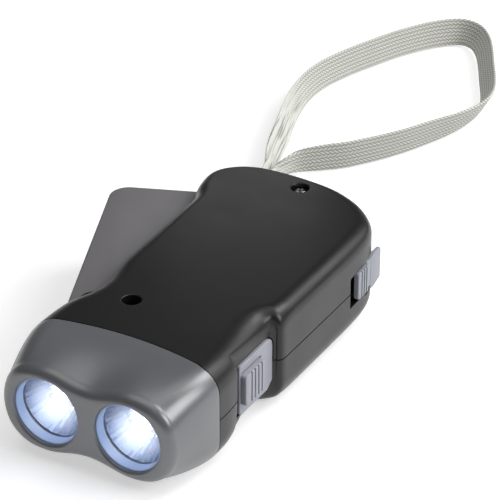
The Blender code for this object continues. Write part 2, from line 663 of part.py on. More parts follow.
def make_shell(name, finish, root, upward):
    """One body shell: wall, spigot for the head, lever slot, slider openings, bosses and holes."""
    curve = body_curve()
    parting = half_gap(upward)
    outer = lift(0, upward)
    shell = shell_body(name, curve, 0, parting, outer, upward, finish=finish, parent=root)
    cut(shell, seam_tool("seam_tool", GAP / 2, True))
    spigot = section_bar("spigot", HEAD_WALL + GAP, SPIGOT_FRONT, SPIGOT_REAR)
    far = lift(THICKNESS + OVERRUN, upward)
    ends = sorted((parting, far))
    half = HALF_WIDTH + OVERRUN
    cut(spigot, box("other_half", (-half, 0, ends[0]), (half, LENGTH, ends[1])))
    join(shell, spigot)
    inner = HEAD_WALL + GAP + SPIGOT_WALL
    cut(shell, section_bar("front_way", inner, SPIGOT_FRONT - OVERRUN, SPIGOT_REAR + BITE))
    over = parting - upward * OVERRUN
    hollow = shell_body("hollow", cavity_curve(curve), WALL, over, lift(WALL, upward), upward)
    cut(shell, hollow)
    cut(shell, neck_tool())
    pad_x = LOCK_X - GAP
    pad = sorted((parting, lift(LOCK_LOW - 2 * GAP - WALL, upward)))
    join(shell, box("lock_pad", (pad_x - LOCK_PAD, LOCK_SLOT_FRONT - WALL, pad[0]),
                    (pad_x + BITE, LOCK_THUMB_REAR + OVERRUN, pad[1])))
    slot_low, slot_high = LOCK_LOW - GAP, LOCK_HIGH + GAP
    cut(shell, box("lock_slot", (pad_x, LOCK_SLOT_FRONT, slot_low), (half, LENGTH, slot_high)))
    tail_front = LOCK_TAIL_FRONT - LOCK_TRAVEL - GAP
    cut(shell, box("tail_rebate", (LOCK_TAIL_X - GAP, tail_front, LOCK_TAIL_LOW - GAP),
                   (half, LENGTH, LOCK_TAIL_HIGH + GAP)))
    window = (STEM_LOW - GAP, STEM_HIGH + GAP)
    stem_front = TONGUE_FRONT - LOCK_TRAVEL - GAP
    cut(shell, box("lock_window", (STEM_X - STEM_WIDTH, stem_front, window[0]),
                   (half, TONGUE_REAR + GAP, window[1])))
    cut(shell, lever_slot())
    cut(shell, switch_window())
    for (x, y), sink in zip(map(place, CASE_SCREW_SHARES), CASE_SCREW_SINK):
        add_boss(shell, "case_boss", (x, y), CASE_BOSS_RADIUS, MID_Z - GAP / 2, upward)
        if upward > 0:
            seat = THICKNESS - sink - CASE_SCREW_HEAD_THICK - GAP
            drill(shell, "case_recess", (x, y), CASE_RECESS_RADIUS, seat, THICKNESS + OVERRUN, ROUND_SIDES)
            drill(shell, "case_hole", (x, y), CASE_SCREW_RADIUS + GAP, MID_Z - OVERRUN, seat + OVERRUN)
        else:
            tip = CASE_SCREW_TIP - GAP
            drill(shell, "case_hole", (x, y), CASE_SCREW_RADIUS + RUNNING, tip, MID_Z + OVERRUN)
    lever_low = MID_Z - LEVER_HALF_HEIGHT - GAP
    add_boss(shell, "pivot_boss", (PIVOT_X, PIVOT_Y), PIVOT_BOSS, lever_low, upward)
    depth = sorted((lift(WALL + GAP, upward), MID_Z))
    drill(shell, "pivot_hole", (PIVOT_X, PIVOT_Y), PIN_RADIUS + RUNNING, *depth)
    pin = (STRAP_PIN_X, STRAP_PIN_Y)
    add_boss(shell, "strap_boss", pin, STRAP_BOSS, STRAP_BOSS_HEIGHT, upward, SMALL_SIDES)
    drill(shell, "strap_hole", pin, STRAP_PIN_RADIUS + RUNNING, *depth)
    cut(shell, strap_slot())
    if upward < 0:
        for spot in map(train_place, FRAME_POST_SHARES):
            add_boss(shell, "frame_boss", spot, POST_RADIUS, FRAME_BOTTOM - GAP, upward, SMALL_SIDES)
            end = FRAME_SCREW_END - GAP
            drill(shell, "frame_hole", spot, FRAME_SCREW_RADIUS + RUNNING, end, MID_Z)
    return shell


def lever_slot():
    """The side opening that the lever swings into."""
    low = MID_Z - LEVER_HALF_HEIGHT - GAP
    high = MID_Z + LEVER_HALF_HEIGHT + GAP
    left = -HALF_WIDTH - OVERRUN
    return box("lever_slot", (left, LEVER_SLOT_FRONT, low), (LEVER_SLOT_X, LEVER_SLOT_REAR, high))


def switch_window():
    """The slot in the neck wall that the switch slider's stem runs in."""
    middle = (SWITCH_THUMB_FRONT + SWITCH_THUMB_REAR) / 2
    half = SWITCH_STEM_LENGTH / 2 + GAP
    rise = SWITCH_STEM_HEIGHT / 2 + GAP
    return box("switch_window", (NECK_INNER_X - OVERRUN, middle - half - SWITCH_TRAVEL, MID_Z - rise),
               (NECK_FLOOR_X + BITE, middle + half, MID_Z + rise))


def strap_slot():
    """The opening in the rear wall that the strap leaves through."""
    half = (STRAP_SLOT_HALF_WIDTH, STRAP_SLOT_DEPTH / 2, STRAP_SLOT_HALF_HEIGHT)
    tool = box("strap_slot", [-h for h in half], half)
    tool.location = (STRAP_SLOT_X, STRAP_SLOT_Y, MID_Z)
    tool.rotation_euler = (0, 0, math.radians(STRAP_SLOT_TURN_DEG))
    return tool


def polar_radius(outline, centre, angle):
    """Distance from a centre to an outline along one direction."""
    way = Vector((math.cos(angle), math.sin(angle)))
    best = 0.0
    for i in range(len(outline)):
        a = Vector(outline[i]) - centre
        side = Vector(outline[(i + 1) % len(outline)]) - centre - a
        across = way.x * side.y - way.y * side.x
        if abs(across) < 1e-12:
            continue
        reach = (a.x * side.y - a.y * side.x) / across
        share = (a.x * way.y - a.y * way.x) / across
        if reach > 0 and -1e-6 <= share <= 1 + 1e-6:
            best = max(best, reach)
    return best


def nose_outline(points=96):
    """The two-lobed outline of the head's front, as (x, z) points."""
    spots = []
    for k in range(points // 4 + 1):
        angle = -math.pi / 2 + math.pi * k / (points // 4)
        across = LENS_OFFSET + LOBE_HALF_WIDTH * math.cos(angle)
        spots.append((across, LENS_Z + LOBE_RADIUS * math.sin(angle)))
    for k in range(1, points // 4):
        x = LENS_OFFSET - 2 * LENS_OFFSET * k / (points // 4)
        dip = LOBE_VALLEY * (0.5 + 0.5 * math.cos(math.pi * x / LENS_OFFSET))
        spots.append((x, LENS_Z + LOBE_RADIUS - dip))
    return spots + [(-x, 2 * LENS_Z - z) for x, z in spots]


def head_rings(sides=60):
    """Rings of the head's outside, from behind the seam to its flat front."""
    nose = nose_outline()
    back = front_section(0)
    middle = Vector((0, LENS_Z))
    rings = []
    stations = [HEAD_DRAWN_TO * (1 - k / 8) for k in range(8)] + [NOSE_RADIUS]
    for y in stations:
        share = max(0, 1 - y / SEAM_SIDE) ** HEAD_TAPER_POWER
        ring = []
        for i in range(sides):
            angle = math.tau * i / sides
            body, front = (polar_radius(outline, middle, angle) for outline in (back, nose))
            reach = (1 - share) * body + share * front
            ring.append(Vector((middle.x + reach * math.cos(angle), y, middle.y + reach * math.sin(angle))))
        rings.append(ring)
    last = rings[-1]
    for k in range(1, EDGE_STEPS + 1):
        angle = math.pi / 2 * k / EDGE_STEPS
        inset = NOSE_RADIUS * (1 - math.cos(angle))
        y = NOSE_RADIUS * (1 - math.sin(angle))
        ring = []
        for i, p in enumerate(last):
            along = (last[(i + 1) % sides] - last[i - 1]).normalized()
            ring.append(Vector((p.x - along.z * inset, y, p.z + along.x * inset)))
        rings.append(ring)
    return rings


def make_head(finish, root):
    """The grey head: a tapering shell with two openings, lens pockets and a hollow for the spigot."""
    head = mesh_object("head_bezel", *skin(head_rings()), finish=finish, parent=root)
    cut(head, seam_tool("seam_tool", -GAP / 2, False))
    cut(head, section_bar("head_hollow", HEAD_WALL, HEAD_CAVITY_FRONT, HEAD_DRAWN_TO + OVERRUN))
    for side in (-1, 1):
        bore = ((LENS_OPENING, -OVERRUN), (LENS_OPENING, LENS_SET_BACK), (POCKET_RADIUS, LENS_SET_BACK),
                (POCKET_RADIUS, HEAD_CAVITY_FRONT + OVERRUN))
        tool = stacked("lens_bore", bore, sides=32, along_y=True)
        tool.location = (side * LENS_OFFSET, 0, LENS_Z)
        cut(head, tool)
    return head


def lamp_stations():
    """How far back the window, the reflector, the lamp's foot and the lamp board start."""
    window = LENS_SET_BACK + GAP
    cup = window + WINDOW_THICK + GAP
    foot = cup + REFLECTOR_DEPTH + GAP
    board = foot + LAMP_FLANGE_THICK + GAP
    return window, cup, foot, board


def make_lamps(finishes, root):
    """Clear window, bright reflector and lamp behind each opening, and the board they stand on."""
    window_front, cup_front, foot, board = lamp_stations()
    flange = POCKET_RADIUS - GAP
    flange_back = cup_front + REFLECTOR_SKIN
    bulb_back = foot + LAMP_FLANGE_THICK
    bulb_front = bulb_back - LAMP_LENGTH
    for side, word in ((-1, "left"), (1, "right")):
        spot = (side * LENS_OFFSET, 0, LENS_Z)
        stacked("lens_" + word, ((flange, window_front), (flange, window_front + WINDOW_THICK)),
                along_y=True, finish=finishes["clear"], parent=root, location=spot)
        inner, outer = [], []
        for k in range(EDGE_STEPS + 1):
            share = k / EDGE_STEPS
            radius = REFLECTOR_THROAT + (REFLECTOR_MOUTH - REFLECTOR_THROAT) * math.sqrt(1 - share)
            y = cup_front + REFLECTOR_DEPTH * share
            inner.append((radius, y))
            outer.append((radius + REFLECTOR_SKIN, max(y, flange_back)))
        rim = [(flange, flange_back), (flange, cup_front)]
        turned("reflector_" + word, inner + outer[::-1] + rim, along_y=True, finish=finishes["mirror"],
               parent=root, location=spot, smooth=5)
        dome = []
        for k in range(EDGE_STEPS):
            angle = math.pi / 2 * (k + 0.3) / EDGE_STEPS
            dome.append((LAMP_RADIUS * math.sin(angle), bulb_front + LAMP_RADIUS * (1 - math.cos(angle))))
        dome += [(LAMP_RADIUS, bulb_front + LAMP_RADIUS), (LAMP_RADIUS, foot + GAP / 2),
                 (LAMP_FLANGE, foot + GAP / 2), (LAMP_FLANGE, bulb_back)]
        stacked("lamp_" + word, dome, sides=SMALL_SIDES, along_y=True, finish=finishes["lamp"],
                parent=root, location=spot)
    box("lamp_board", (-LAMP_BOARD_HALF_WIDTH, board, LENS_Z - LAMP_BOARD_HALF_HEIGHT),
        (LAMP_BOARD_HALF_WIDTH, board + LAMP_BOARD_THICK, LENS_Z + LAMP_BOARD_HALF_HEIGHT),
        finish=finishes["board"], parent=root)


def lever_outline():
    """Plan of the closed lever about its pivot: round front, straight grip edge, square rear."""
    spots = []
    for k in range(7):
        angle = math.radians(300 - 20 * k)
        share = (300 - 20 * k - 180) / 120
        reach = LEVER_OUT - (LEVER_OUT - LEVER_EYE) * share
        spots.append((reach * math.cos(angle), reach * math.sin(angle)))
    for k in range(EDGE_STEPS + 1):
        angle = math.pi - math.pi / 2 * k / EDGE_STEPS
        spots.append((-LEVER_OUT + LEVER_CORNER + LEVER_CORNER * math.cos(angle),
                      LEVER_REACH - LEVER_CORNER + LEVER_CORNER * math.sin(angle)))
    spots.append((LEVER_WIDTH - LEVER_OUT, LEVER_REACH))
    spots.append((LEVER_HIP_X, LEVER_HIP_Y))
    spots.append((LEVER_WAIST_X, LEVER_WAIST_Y))
    spots.append((LEVER_EYE, 0))
    return spots[::-1]


def rounded_plate(name, outline, low, high, edge, **how):
    """A plan outline raised to a block with its top and bottom edges taken off."""
    count = len(outline)
    spots = [Vector((*p, 0)) for p in outline]
    ins = []
    for i in range(count):
        before = (spots[i] - spots[i - 1]).normalized()
        after = (spots[(i + 1) % count] - spots[i]).normalized()
        normal = Vector((before.y + after.y, -before.x - after.x, 0)).normalized()
        ins.append(spots[i] - normal * edge)
    rings = [[(p.x, p.y, low) for p in ins], [(p.x, p.y, low + edge) for p in spots],
             [(p.x, p.y, high - edge) for p in spots], [(p.x, p.y, high) for p in ins]]
    return mesh_object(name, *skin(rings), **how)


def make_lever(finish, root):
    """The hollow squeeze lever with its eyes, rear wall, catch and the boss for its toothed arm."""
    low, high = MID_Z - LEVER_HALF_HEIGHT, MID_Z + LEVER_HALF_HEIGHT
    lever = rounded_plate("lever_grip", lever_outline(), low, high, LEVER_EDGE, finish=finish, parent=root,
                          location=(PIVOT_X, PIVOT_Y, 0), turn=math.radians(LEVER_OPEN_DEG))
    wall_x = -LEVER_OUT + LEVER_WALL
    rear = LEVER_REACH - LEVER_WALL
    end_x = -LEVER_OUT + LEVER_REAR_WALL
    far = LEVER_REACH + OVERRUN
    hollow = ((wall_x, 0), (wall_x / 2, -LEVER_EYE), (wall_x / 2, -far), (far, -far), (far, far),
              (end_x, far), (end_x, rear), (wall_x + LEVER_CORNER / 2, rear),
              (wall_x, rear - LEVER_CORNER / 2))
    tool = prism("lever_hollow", hollow, low + LEVER_PLATE, high - LEVER_PLATE)
    join_pose(tool)
    cut(lever, tool)
    tab_rear = CATCH_TAB_FRONT + CATCH_TAB_WIDTH
    finger_end = tab_rear + CATCH_FINGER_LENGTH
    finger_x = CATCH_FINGER_X + CATCH_FINGER_WIDTH
    catch = ((CATCH_ROOT_X, CATCH_TAB_FRONT), (finger_x, CATCH_TAB_FRONT), (finger_x, finger_end),
             (CATCH_FINGER_X, finger_end), (CATCH_FINGER_X, tab_rear), (CATCH_ROOT_X, tab_rear))
    tool = prism("catch", catch, high - LEVER_PLATE, high - RUNNING)
    join_pose(tool)
    join(lever, tool)
    foot = rack_foot()
    tool = post("rack_boss", foot, POST_RADIUS, low + LEVER_PLATE / 2, RACK_BOTTOM - GAP, sides=SMALL_SIDES)
    join_pose(tool)
    join(lever, tool)
    tool = post("rack_hole", foot, FRAME_SCREW_RADIUS + RUNNING, low + LEVER_PLATE, MID_Z, sides=SMALL_SIDES)
    join_pose(tool)
    cut(lever, tool)
    tool = post("eye_hole", (0, 0), PIN_RADIUS + RUNNING, -OVERRUN, THICKNESS + OVERRUN)
    join_pose(tool)
    cut(lever, tool)
    return lever


def join_pose(tool):
    """Puts a tool drawn about the closed lever's pivot where the open lever stands."""
    tool.parent = bpy.data.objects["torch"]
    tool.location = (PIVOT_X, PIVOT_Y, 0)
    tool.rotation_euler = (0, 0, math.radians(LEVER_OPEN_DEG))


def rack_foot():
    """Where the toothed arm is screwed to the lever, about the pivot."""
    middle = (RACK_BEAM_INNER + rack_root()) / 2
    angle = math.radians(RACK_FOOT_DEG)
    return (middle * math.cos(angle), middle * math.sin(angle))


def rack_radius():
    """Pitch radius of the toothed arm about the pivot."""
    return RACK_MODULE * RACK_FULL_TEETH / 2


def rack_root():
    """Root radius of the toothed arm."""
    return rack_radius() - DEDENDUM_SHARE * RACK_MODULE


def involute(angle):
    """The involute function of a pressure angle."""
    return math.tan(angle) - angle


def tooth_flank(teeth, module):
    """Radius and half angle of a tooth from root to tip, thinned for backlash."""
    pitch = teeth * module / 2
    base = pitch * math.cos(PRESSURE_ANGLE)
    tip = pitch + ADDENDUM_SHARE * module
    root = pitch - DEDENDUM_SHARE * module
    half = math.pi / (2 * teeth) - BACKLASH / (2 * pitch) + involute(PRESSURE_ANGLE)
    start = max(base, root)
    flank = []
    if root < base:
        flank.append((root, half))
    for radius in (start, pitch, tip):
        flank.append((radius, half - involute(math.acos(min(base / radius, 1)))))
    return flank


def gear_outline(teeth, module, start_deg, count=None):
    """Plan points of a gear, or of a run of its teeth, the first tooth centred at start_deg."""
    flank = tooth_flank(teeth, module)
    spots = []
    for tooth in range(count or teeth):
        centre = math.radians(start_deg) + math.tau * tooth / teeth
        for radius, half in flank:
            spots.append((radius * math.cos(centre - half), radius * math.sin(centre - half)))
        for radius, half in reversed(flank):
            spots.append((radius * math.cos(centre + half), radius * math.sin(centre + half)))
    return spots


def train_places():
    """Axle places of the first gear, the second gear and the rotor."""
    pinion = PINION_TEETH / 2
    gaps = (rack_radius() + pinion * RACK_MODULE,
            (FIRST_WHEEL_TEETH + PINION_TEETH) / 2 * FIRST_WHEEL_MODULE,
            (SECOND_WHEEL_TEETH + PINION_TEETH) / 2 * SECOND_WHEEL_MODULE)
    spots = [(PIVOT_X, PIVOT_Y)]
    for gap, turn in zip(gaps, (FIRST_DIRECTION_DEG, SECOND_DIRECTION_DEG, ROTOR_DIRECTION_DEG)):
        angle = math.radians(turn)
        spots.append((spots[-1][0] + gap * math.cos(angle), spots[-1][1] + gap * math.sin(angle)))
    return spots[1:]


def meshed_start(direction_deg, tooth_deg, teeth, other_teeth):
    """Angle of a tooth that sits in mesh with a gear whose tooth is at tooth_deg."""
    share = ((direction_deg - tooth_deg) * teeth / 360) % 1
    return direction_deg + 180 - (0.5 - share) * 360 / other_teeth


def rack_first_deg():
    """Angle of the toothed arm's first tooth, about the closed lever's pivot."""
    return RACK_LAST_DEG - (RACK_TEETH - 1) * 360 / RACK_FULL_TEETH


def make_rack(finish, steel, root):
    """The white toothed arm, and the screw that holds it on the lever's boss."""
    teeth = gear_outline(RACK_FULL_TEETH, RACK_MODULE, rack_first_deg(), RACK_TEETH)
    pitch_deg = 360 / RACK_FULL_TEETH
    first, last = rack_first_deg() - pitch_deg, RACK_END_DEG
    outer = [(rack_root(), a) for a in (first, RACK_LAST_DEG + pitch_deg, (RACK_LAST_DEG + last) / 2, last)]
    inner = [(RACK_BEAM_INNER, last + (first - last) * k / 8) for k in range(9)]
    spots = [polar(outer[0])] + teeth + [polar(p) for p in outer[1:]] + [polar(p) for p in inner]
    how = {"parent": root, "location": (PIVOT_X, PIVOT_Y, 0), "turn": math.radians(LEVER_OPEN_DEG)}
    rack = prism("lever_rack", spots, RACK_BOTTOM, RACK_TOP, finish=finish, **how)
    foot = rack_foot()
    tool = post("rack_screw_hole", foot, FRAME_SCREW_RADIUS + RUNNING, 0, THICKNESS, sides=SMALL_SIDES)
    join_pose(tool)
    cut(rack, tool)
    head = RACK_TOP + GAP
    shank_end = MID_Z - LEVER_HALF_HEIGHT + LEVER_PLATE + GAP
    levels = ((FRAME_SCREW_RADIUS, shank_end), (FRAME_SCREW_RADIUS, head), (FRAME_SCREW_HEAD, head),
              (FRAME_SCREW_HEAD, head + FRAME_SCREW_HEAD_THICK))
    screw = stacked("rack_screw", levels, sides=SMALL_SIDES, finish=steel, parent=root)
    turned_foot = Matrix.Rotation(math.radians(LEVER_OPEN_DEG), 3, "Z") @ Vector((*foot, 0))
    screw.location = Vector((PIVOT_X, PIVOT_Y, 0)) + turned_foot


def polar(spot):
    """Plan point from a radius and an angle in degrees."""
    return (spot[0] * math.cos(math.radians(spot[1])), spot[0] * math.sin(math.radians(spot[1])))


def make_spring(steel, root):
    """The torsion spring round the pivot pin, one unbroken wire with two straight legs."""
    rise = SPRING_PITCH * SPRING_TURNS
    start = MID_Z - rise / 2
    spots = []
    for k in range(SPRING_TURNS * SPRING_POINTS + 1):
        angle = math.tau * k / SPRING_POINTS
        spots.append(Vector((SPRING_RADIUS * math.cos(angle), SPRING_RADIUS * math.sin(angle),
                             start + rise * k / (SPRING_TURNS * SPRING_POINTS))))
    lower = spots[0] + Vector((SPRING_LEG_OUT, -SPRING_LEG / 2, 0))
    upper = spots[-1] + Vector((-SPRING_RADIUS, SPRING_LEG, 0))
    wire = tube("lever_spring", [lower] + spots + [upper], SPRING_WIRE, steel, root, 1)
    wire.location = (PIVOT_X, PIVOT_Y, 0)
    least = min((a - b).length for i, a in enumerate(spots) for b in spots[i + SPRING_POINTS // 2:])
    print("lever_spring least gap to itself, mm:", round((least - 2 * SPRING_WIRE) / MM, 2))


def tube(name, spots, radius, finish, root, resolution, flat=0.0):
    """A wire, lead or band along points, with closed ends."""
    line = bpy.data.curves.new(name, "CURVE")
    line.dimensions = "3D"
    line.twist_mode = "Z_UP"
    spline = line.splines.new("POLY")
    spline.points.add(len(spots) - 1)
    for point, spot in zip(spline.points, spots):
        point.co = (*spot, 1)
    line.bevel_depth = radius
    line.bevel_resolution = resolution
    line.extrude = flat
    line.use_fill_caps = True
    made = bpy.data.objects.new(name, line)
    bpy.context.collection.objects.link(made)
    made.parent = root
    line.materials.append(finish)
    return made


def gear_stack(name, levels, bore, finish, root, spot):
    """A gear of one or two toothed levels on one bored hub."""
    made = None
    for outline, low, high in levels:
        layer = prism(name if made is None else name + "_layer", outline, low, high)
        layer.parent = root
        layer.location = (*spot, 0)
        if made is None:
            made = layer
            made.data.materials.append(finish)
        else:
            join(made, layer)
    if bore:
        hole = post("bore", (0, 0), bore, 0, THICKNESS, sides=SMALL_SIDES)
        hole.parent = root
        hole.location = (*spot, 0)
        cut(made, hole)
    return made


def make_train(finishes, root):
    """First gear, second gear, rotor and magnet, in mesh from the toothed arm to the rotor."""
    first, second, rotor = train_places()
    arm_tooth = rack_first_deg() + LEVER_OPEN_DEG
    start = meshed_start(FIRST_DIRECTION_DEG, arm_tooth, RACK_FULL_TEETH, PINION_TEETH)
    wheel = gear_outline(FIRST_WHEEL_TEETH, FIRST_WHEEL_MODULE, SECOND_DIRECTION_DEG)
    pinion = gear_outline(PINION_TEETH, RACK_MODULE, start)
    bore = AXLE_RADIUS + RUNNING
    levels = ((wheel, LOW_BOTTOM, LOW_TOP), (pinion, LOW_TOP - PINION_OVERLAP, RACK_TOP + PINION_OVERLAP))
    gear_stack("first_gear", levels, bore, finishes["nylon"], root, first)
    start = meshed_start(SECOND_DIRECTION_DEG, SECOND_DIRECTION_DEG, FIRST_WHEEL_TEETH, PINION_TEETH)
    pinion = gear_outline(PINION_TEETH, FIRST_WHEEL_MODULE, start)
    wheel = gear_outline(SECOND_WHEEL_TEETH, SECOND_WHEEL_MODULE, ROTOR_DIRECTION_DEG)
    levels = ((wheel, HIGH_BOTTOM, HIGH_TOP), (pinion, LOW_BOTTOM, HIGH_BOTTOM + PINION_OVERLAP))
    gear_stack("second_gear", levels, bore, finishes["nylon"], root, second)
    start = meshed_start(ROTOR_DIRECTION_DEG, ROTOR_DIRECTION_DEG, SECOND_WHEEL_TEETH, PINION_TEETH)
    pinion = gear_outline(PINION_TEETH, SECOND_WHEEL_MODULE, start)
    hub_top = HIGH_BOTTOM - GAP
    levels = ((circle(HUB_RADIUS, SMALL_SIDES), LOW_BOTTOM, hub_top),
              (pinion, hub_top - PINION_OVERLAP, HIGH_TOP + PINION_OVERLAP),
              (circle(SHAFT_RADIUS, SMALL_SIDES), FRAME_BOTTOM, FRAME_TOP))
    gear_stack("rotor_shaft", levels, 0, finishes["brass"], root, rotor)
    ring = ((MAGNET_BORE, MAGNET_BOTTOM), (MAGNET_RADIUS, MAGNET_BOTTOM), (MAGNET_RADIUS, MAGNET_TOP),
            (MAGNET_BORE, MAGNET_TOP))
    turned("ring_magnet", ring, finish=finishes["magnet"], parent=root, location=(*rotor, 0))
    for name, spot in (("first_axle", first), ("second_axle", second)):
        post(name, (0, 0), AXLE_RADIUS, FRAME_BOTTOM, FRAME_TOP, sides=SMALL_SIDES, finish=finishes["steel"],
             parent=root, location=(*spot, 0))


def make_frame(finishes, root):
    """Gear frame with its posts, the cover plate above it, and the three long screws."""
    outline = [train_place(s) for s in FRAME_OUTLINE_SHARES]
    posts = [train_place(s) for s in FRAME_POST_SHARES]
    frame_top = FRAME_BOTTOM + FRAME_PLATE
    cover_bottom = FRAME_TOP - FRAME_PLATE
    frame = prism("gear_frame", outline, FRAME_BOTTOM, frame_top, finish=finishes["nylon"], parent=root)
    cover = prism("gear_cover", outline, cover_bottom, FRAME_TOP, finish=finishes["nylon"], parent=root)
    for spot in posts:
        join(frame, post_at(root, spot, POST_RADIUS, frame_top - BITE, cover_bottom - GAP))
    for spot in map(train_place, CORE_PAD_SHARES):
        join(frame, post_at(root, spot, CORE_PAD_RADIUS, frame_top - BITE, CORE_BOTTOM - GAP))
    for spot in posts:
        for plate in (frame, cover):
            cut(plate, post_at(root, spot, FRAME_SCREW_RADIUS + RUNNING, 0, THICKNESS))
    for spot, radius in zip(train_places(), (AXLE_RADIUS, AXLE_RADIUS, SHAFT_RADIUS)):
        for plate in (frame, cover):
            cut(plate, post_at(root, spot, radius + RUNNING, 0, THICKNESS))
    head = FRAME_TOP + GAP
    levels = ((FRAME_SCREW_RADIUS, FRAME_SCREW_END), (FRAME_SCREW_RADIUS, head), (FRAME_SCREW_HEAD, head),
              (FRAME_SCREW_HEAD, head + FRAME_SCREW_HEAD_THICK))
    for number, spot in enumerate(posts, 1):
        stacked("frame_screw_" + str(number), levels, sides=SMALL_SIDES, finish=finishes["steel"],
                parent=root, location=(*spot, 0))


def post_at(root, spot, radius, low, high):
    """A round upright tool in the torch's own frame."""
    return post("post_tool", spot, radius, low, high, sides=SMALL_SIDES, parent=root)


def strip(spots, width):
    """Plan outline of a band of even width along points, mitred at its bends."""
    left, right = [], []
    for i, spot in enumerate(spots):
        before = (spots[i] - spots[i - 1]).normalized() if i else (spots[1] - spots[0]).normalized()
        after = (spots[i + 1] - spots[i]).normalized() if i + 1 < len(spots) else before
        normal = Vector((-(before.y + after.y), before.x + after.x)).normalized()
        reach = width / 2 / max(normal.dot(Vector((-before.y, before.x))), 0.3)
        left.append(spot + normal * reach)
        right.append(spot - normal * reach)
    return [tuple(p) for p in left + right[::-1]]


def make_generator(finishes, root):
    """Steel core with its two poles beside the magnet, the bobbin and the copper winding."""
    rotor = train_places()[2]
    path = [Vector(train_place(s)) for s in CORE_PATH_SHARES]
    core = prism("stator_core", strip(path, CORE_WIDTH), CORE_BOTTOM, CORE_TOP, finish=finishes["steel"],
                 parent=root)
    inner = MAGNET_RADIUS + POLE_GAP
    for first, last in (POLE_RIGHT_DEG, POLE_LEFT_DEG):
        angles = [first + (last - first) * k / 8 for k in range(9)]
        arc = [polar((inner, a)) for a in angles] + [polar((inner + POLE_THICK, a)) for a in reversed(angles)]
        pole = prism("pole", arc, CORE_BOTTOM, CORE_TOP, parent=root, location=(*rotor, 0))
        join(core, pole)
    limb = (path[2] + path[3]) / 2
    height = (CORE_BOTTOM + CORE_TOP) / 2
    turn = math.radians(COIL_TURNED_DEG)
    half = COIL_LENGTH / 2
    hole = BOBBIN_TUBE - REFLECTOR_SKIN
    edge = half + BOBBIN_FLANGE_THICK
    bobbin = ((hole, -edge), (BOBBIN_FLANGE, -edge), (BOBBIN_FLANGE, -half), (BOBBIN_TUBE, -half),
              (BOBBIN_TUBE, half), (BOBBIN_FLANGE, half), (BOBBIN_FLANGE, edge), (hole, edge))
    winding = ((BOBBIN_TUBE + RUNNING, -half + GAP), (COIL_RADIUS, -half + GAP), (COIL_RADIUS, half - GAP),
               (BOBBIN_TUBE + RUNNING, half - GAP))
    for name, profile, finish in (("coil_bobbin", bobbin, "nylon"), ("coil_winding", winding, "copper")):
        made = turned(name, profile, sides=SMALL_SIDES, finish=finishes[finish], parent=root)
        made.matrix_local = (Matrix.Translation((limb.x, limb.y, height)) @ Matrix.Rotation(turn, 4, "Z")
                             @ Matrix.Rotation(math.pi / 2, 4, "Y"))


def make_screws(finish, root):
    """The two case screws with their cross slots, and the lever's pivot pin and strap pin."""
    names = ("case_screw_front", "case_screw_rear")
    for name, spot, sink in zip(names, map(place, CASE_SCREW_SHARES), CASE_SCREW_SINK):
        top = THICKNESS - sink
        under = top - CASE_SCREW_HEAD_THICK
        levels = ((CASE_SCREW_RADIUS, CASE_SCREW_TIP), (CASE_SCREW_RADIUS, under), (CASE_SCREW_HEAD, under),
                  (CASE_SCREW_HEAD, top))
        screw = stacked(name, levels, sides=SMALL_SIDES, finish=finish, parent=root, location=(*spot, 0))
        for turn in (0, 1):
            half = (CROSS_LENGTH / 2, CROSS_WIDTH / 2)
            x, y = half if turn == 0 else half[::-1]
            slot = box("cross", (-x, -y, top - CROSS_DEPTH), (x, y, top + OVERRUN), parent=root,
                       location=(*spot, 0))
            cut(screw, slot)
    ends = (WALL + GAP + GAP, THICKNESS - WALL - GAP - GAP)
    post("lever_pin", (0, 0), PIN_RADIUS, *ends, sides=SMALL_SIDES, finish=finish, parent=root,
         location=(PIVOT_X, PIVOT_Y, 0))
    post("strap_pin", (0, 0), STRAP_PIN_RADIUS, *ends, sides=SMALL_SIDES, finish=finish, parent=root,
         location=(STRAP_PIN_X, STRAP_PIN_Y, 0))


def chamfered(front, rear, low, high, corner):
    """An upright rectangle with its corners taken off, as (y, z) points."""
    return ((front + corner, low), (rear - corner, low), (rear, low + corner), (rear, high - corner),
            (rear - corner, high), (front + corner, high), (front, high - corner), (front, low + corner))


def side_plate(name, outline, inner, outer, **how):
    """A (y, z) outline given thickness across the torch."""
    rings = [[(x, y, z) for y, z in outline] for x in (inner, outer)]
    return mesh_object(name, *skin(rings), **how)


def thumb_block(front, rear, low, high, inner, outer, ribs, root):
    """A block with upright grooves across its outer face."""
    block = side_plate("thumb", chamfered(front, rear, low, high, RIB_GROOVE), inner, outer, parent=root)
    pitch = (rear - front) / ribs
    for k in range(1, ribs):
        y = front + pitch * k
        groove = box("groove", (outer - RIB_GROOVE, y - RIB_GROOVE / 2, low - OVERRUN),
                     (outer + OVERRUN, y + RIB_GROOVE / 2, high + OVERRUN), parent=root)
        cut(block, groove)
    return block


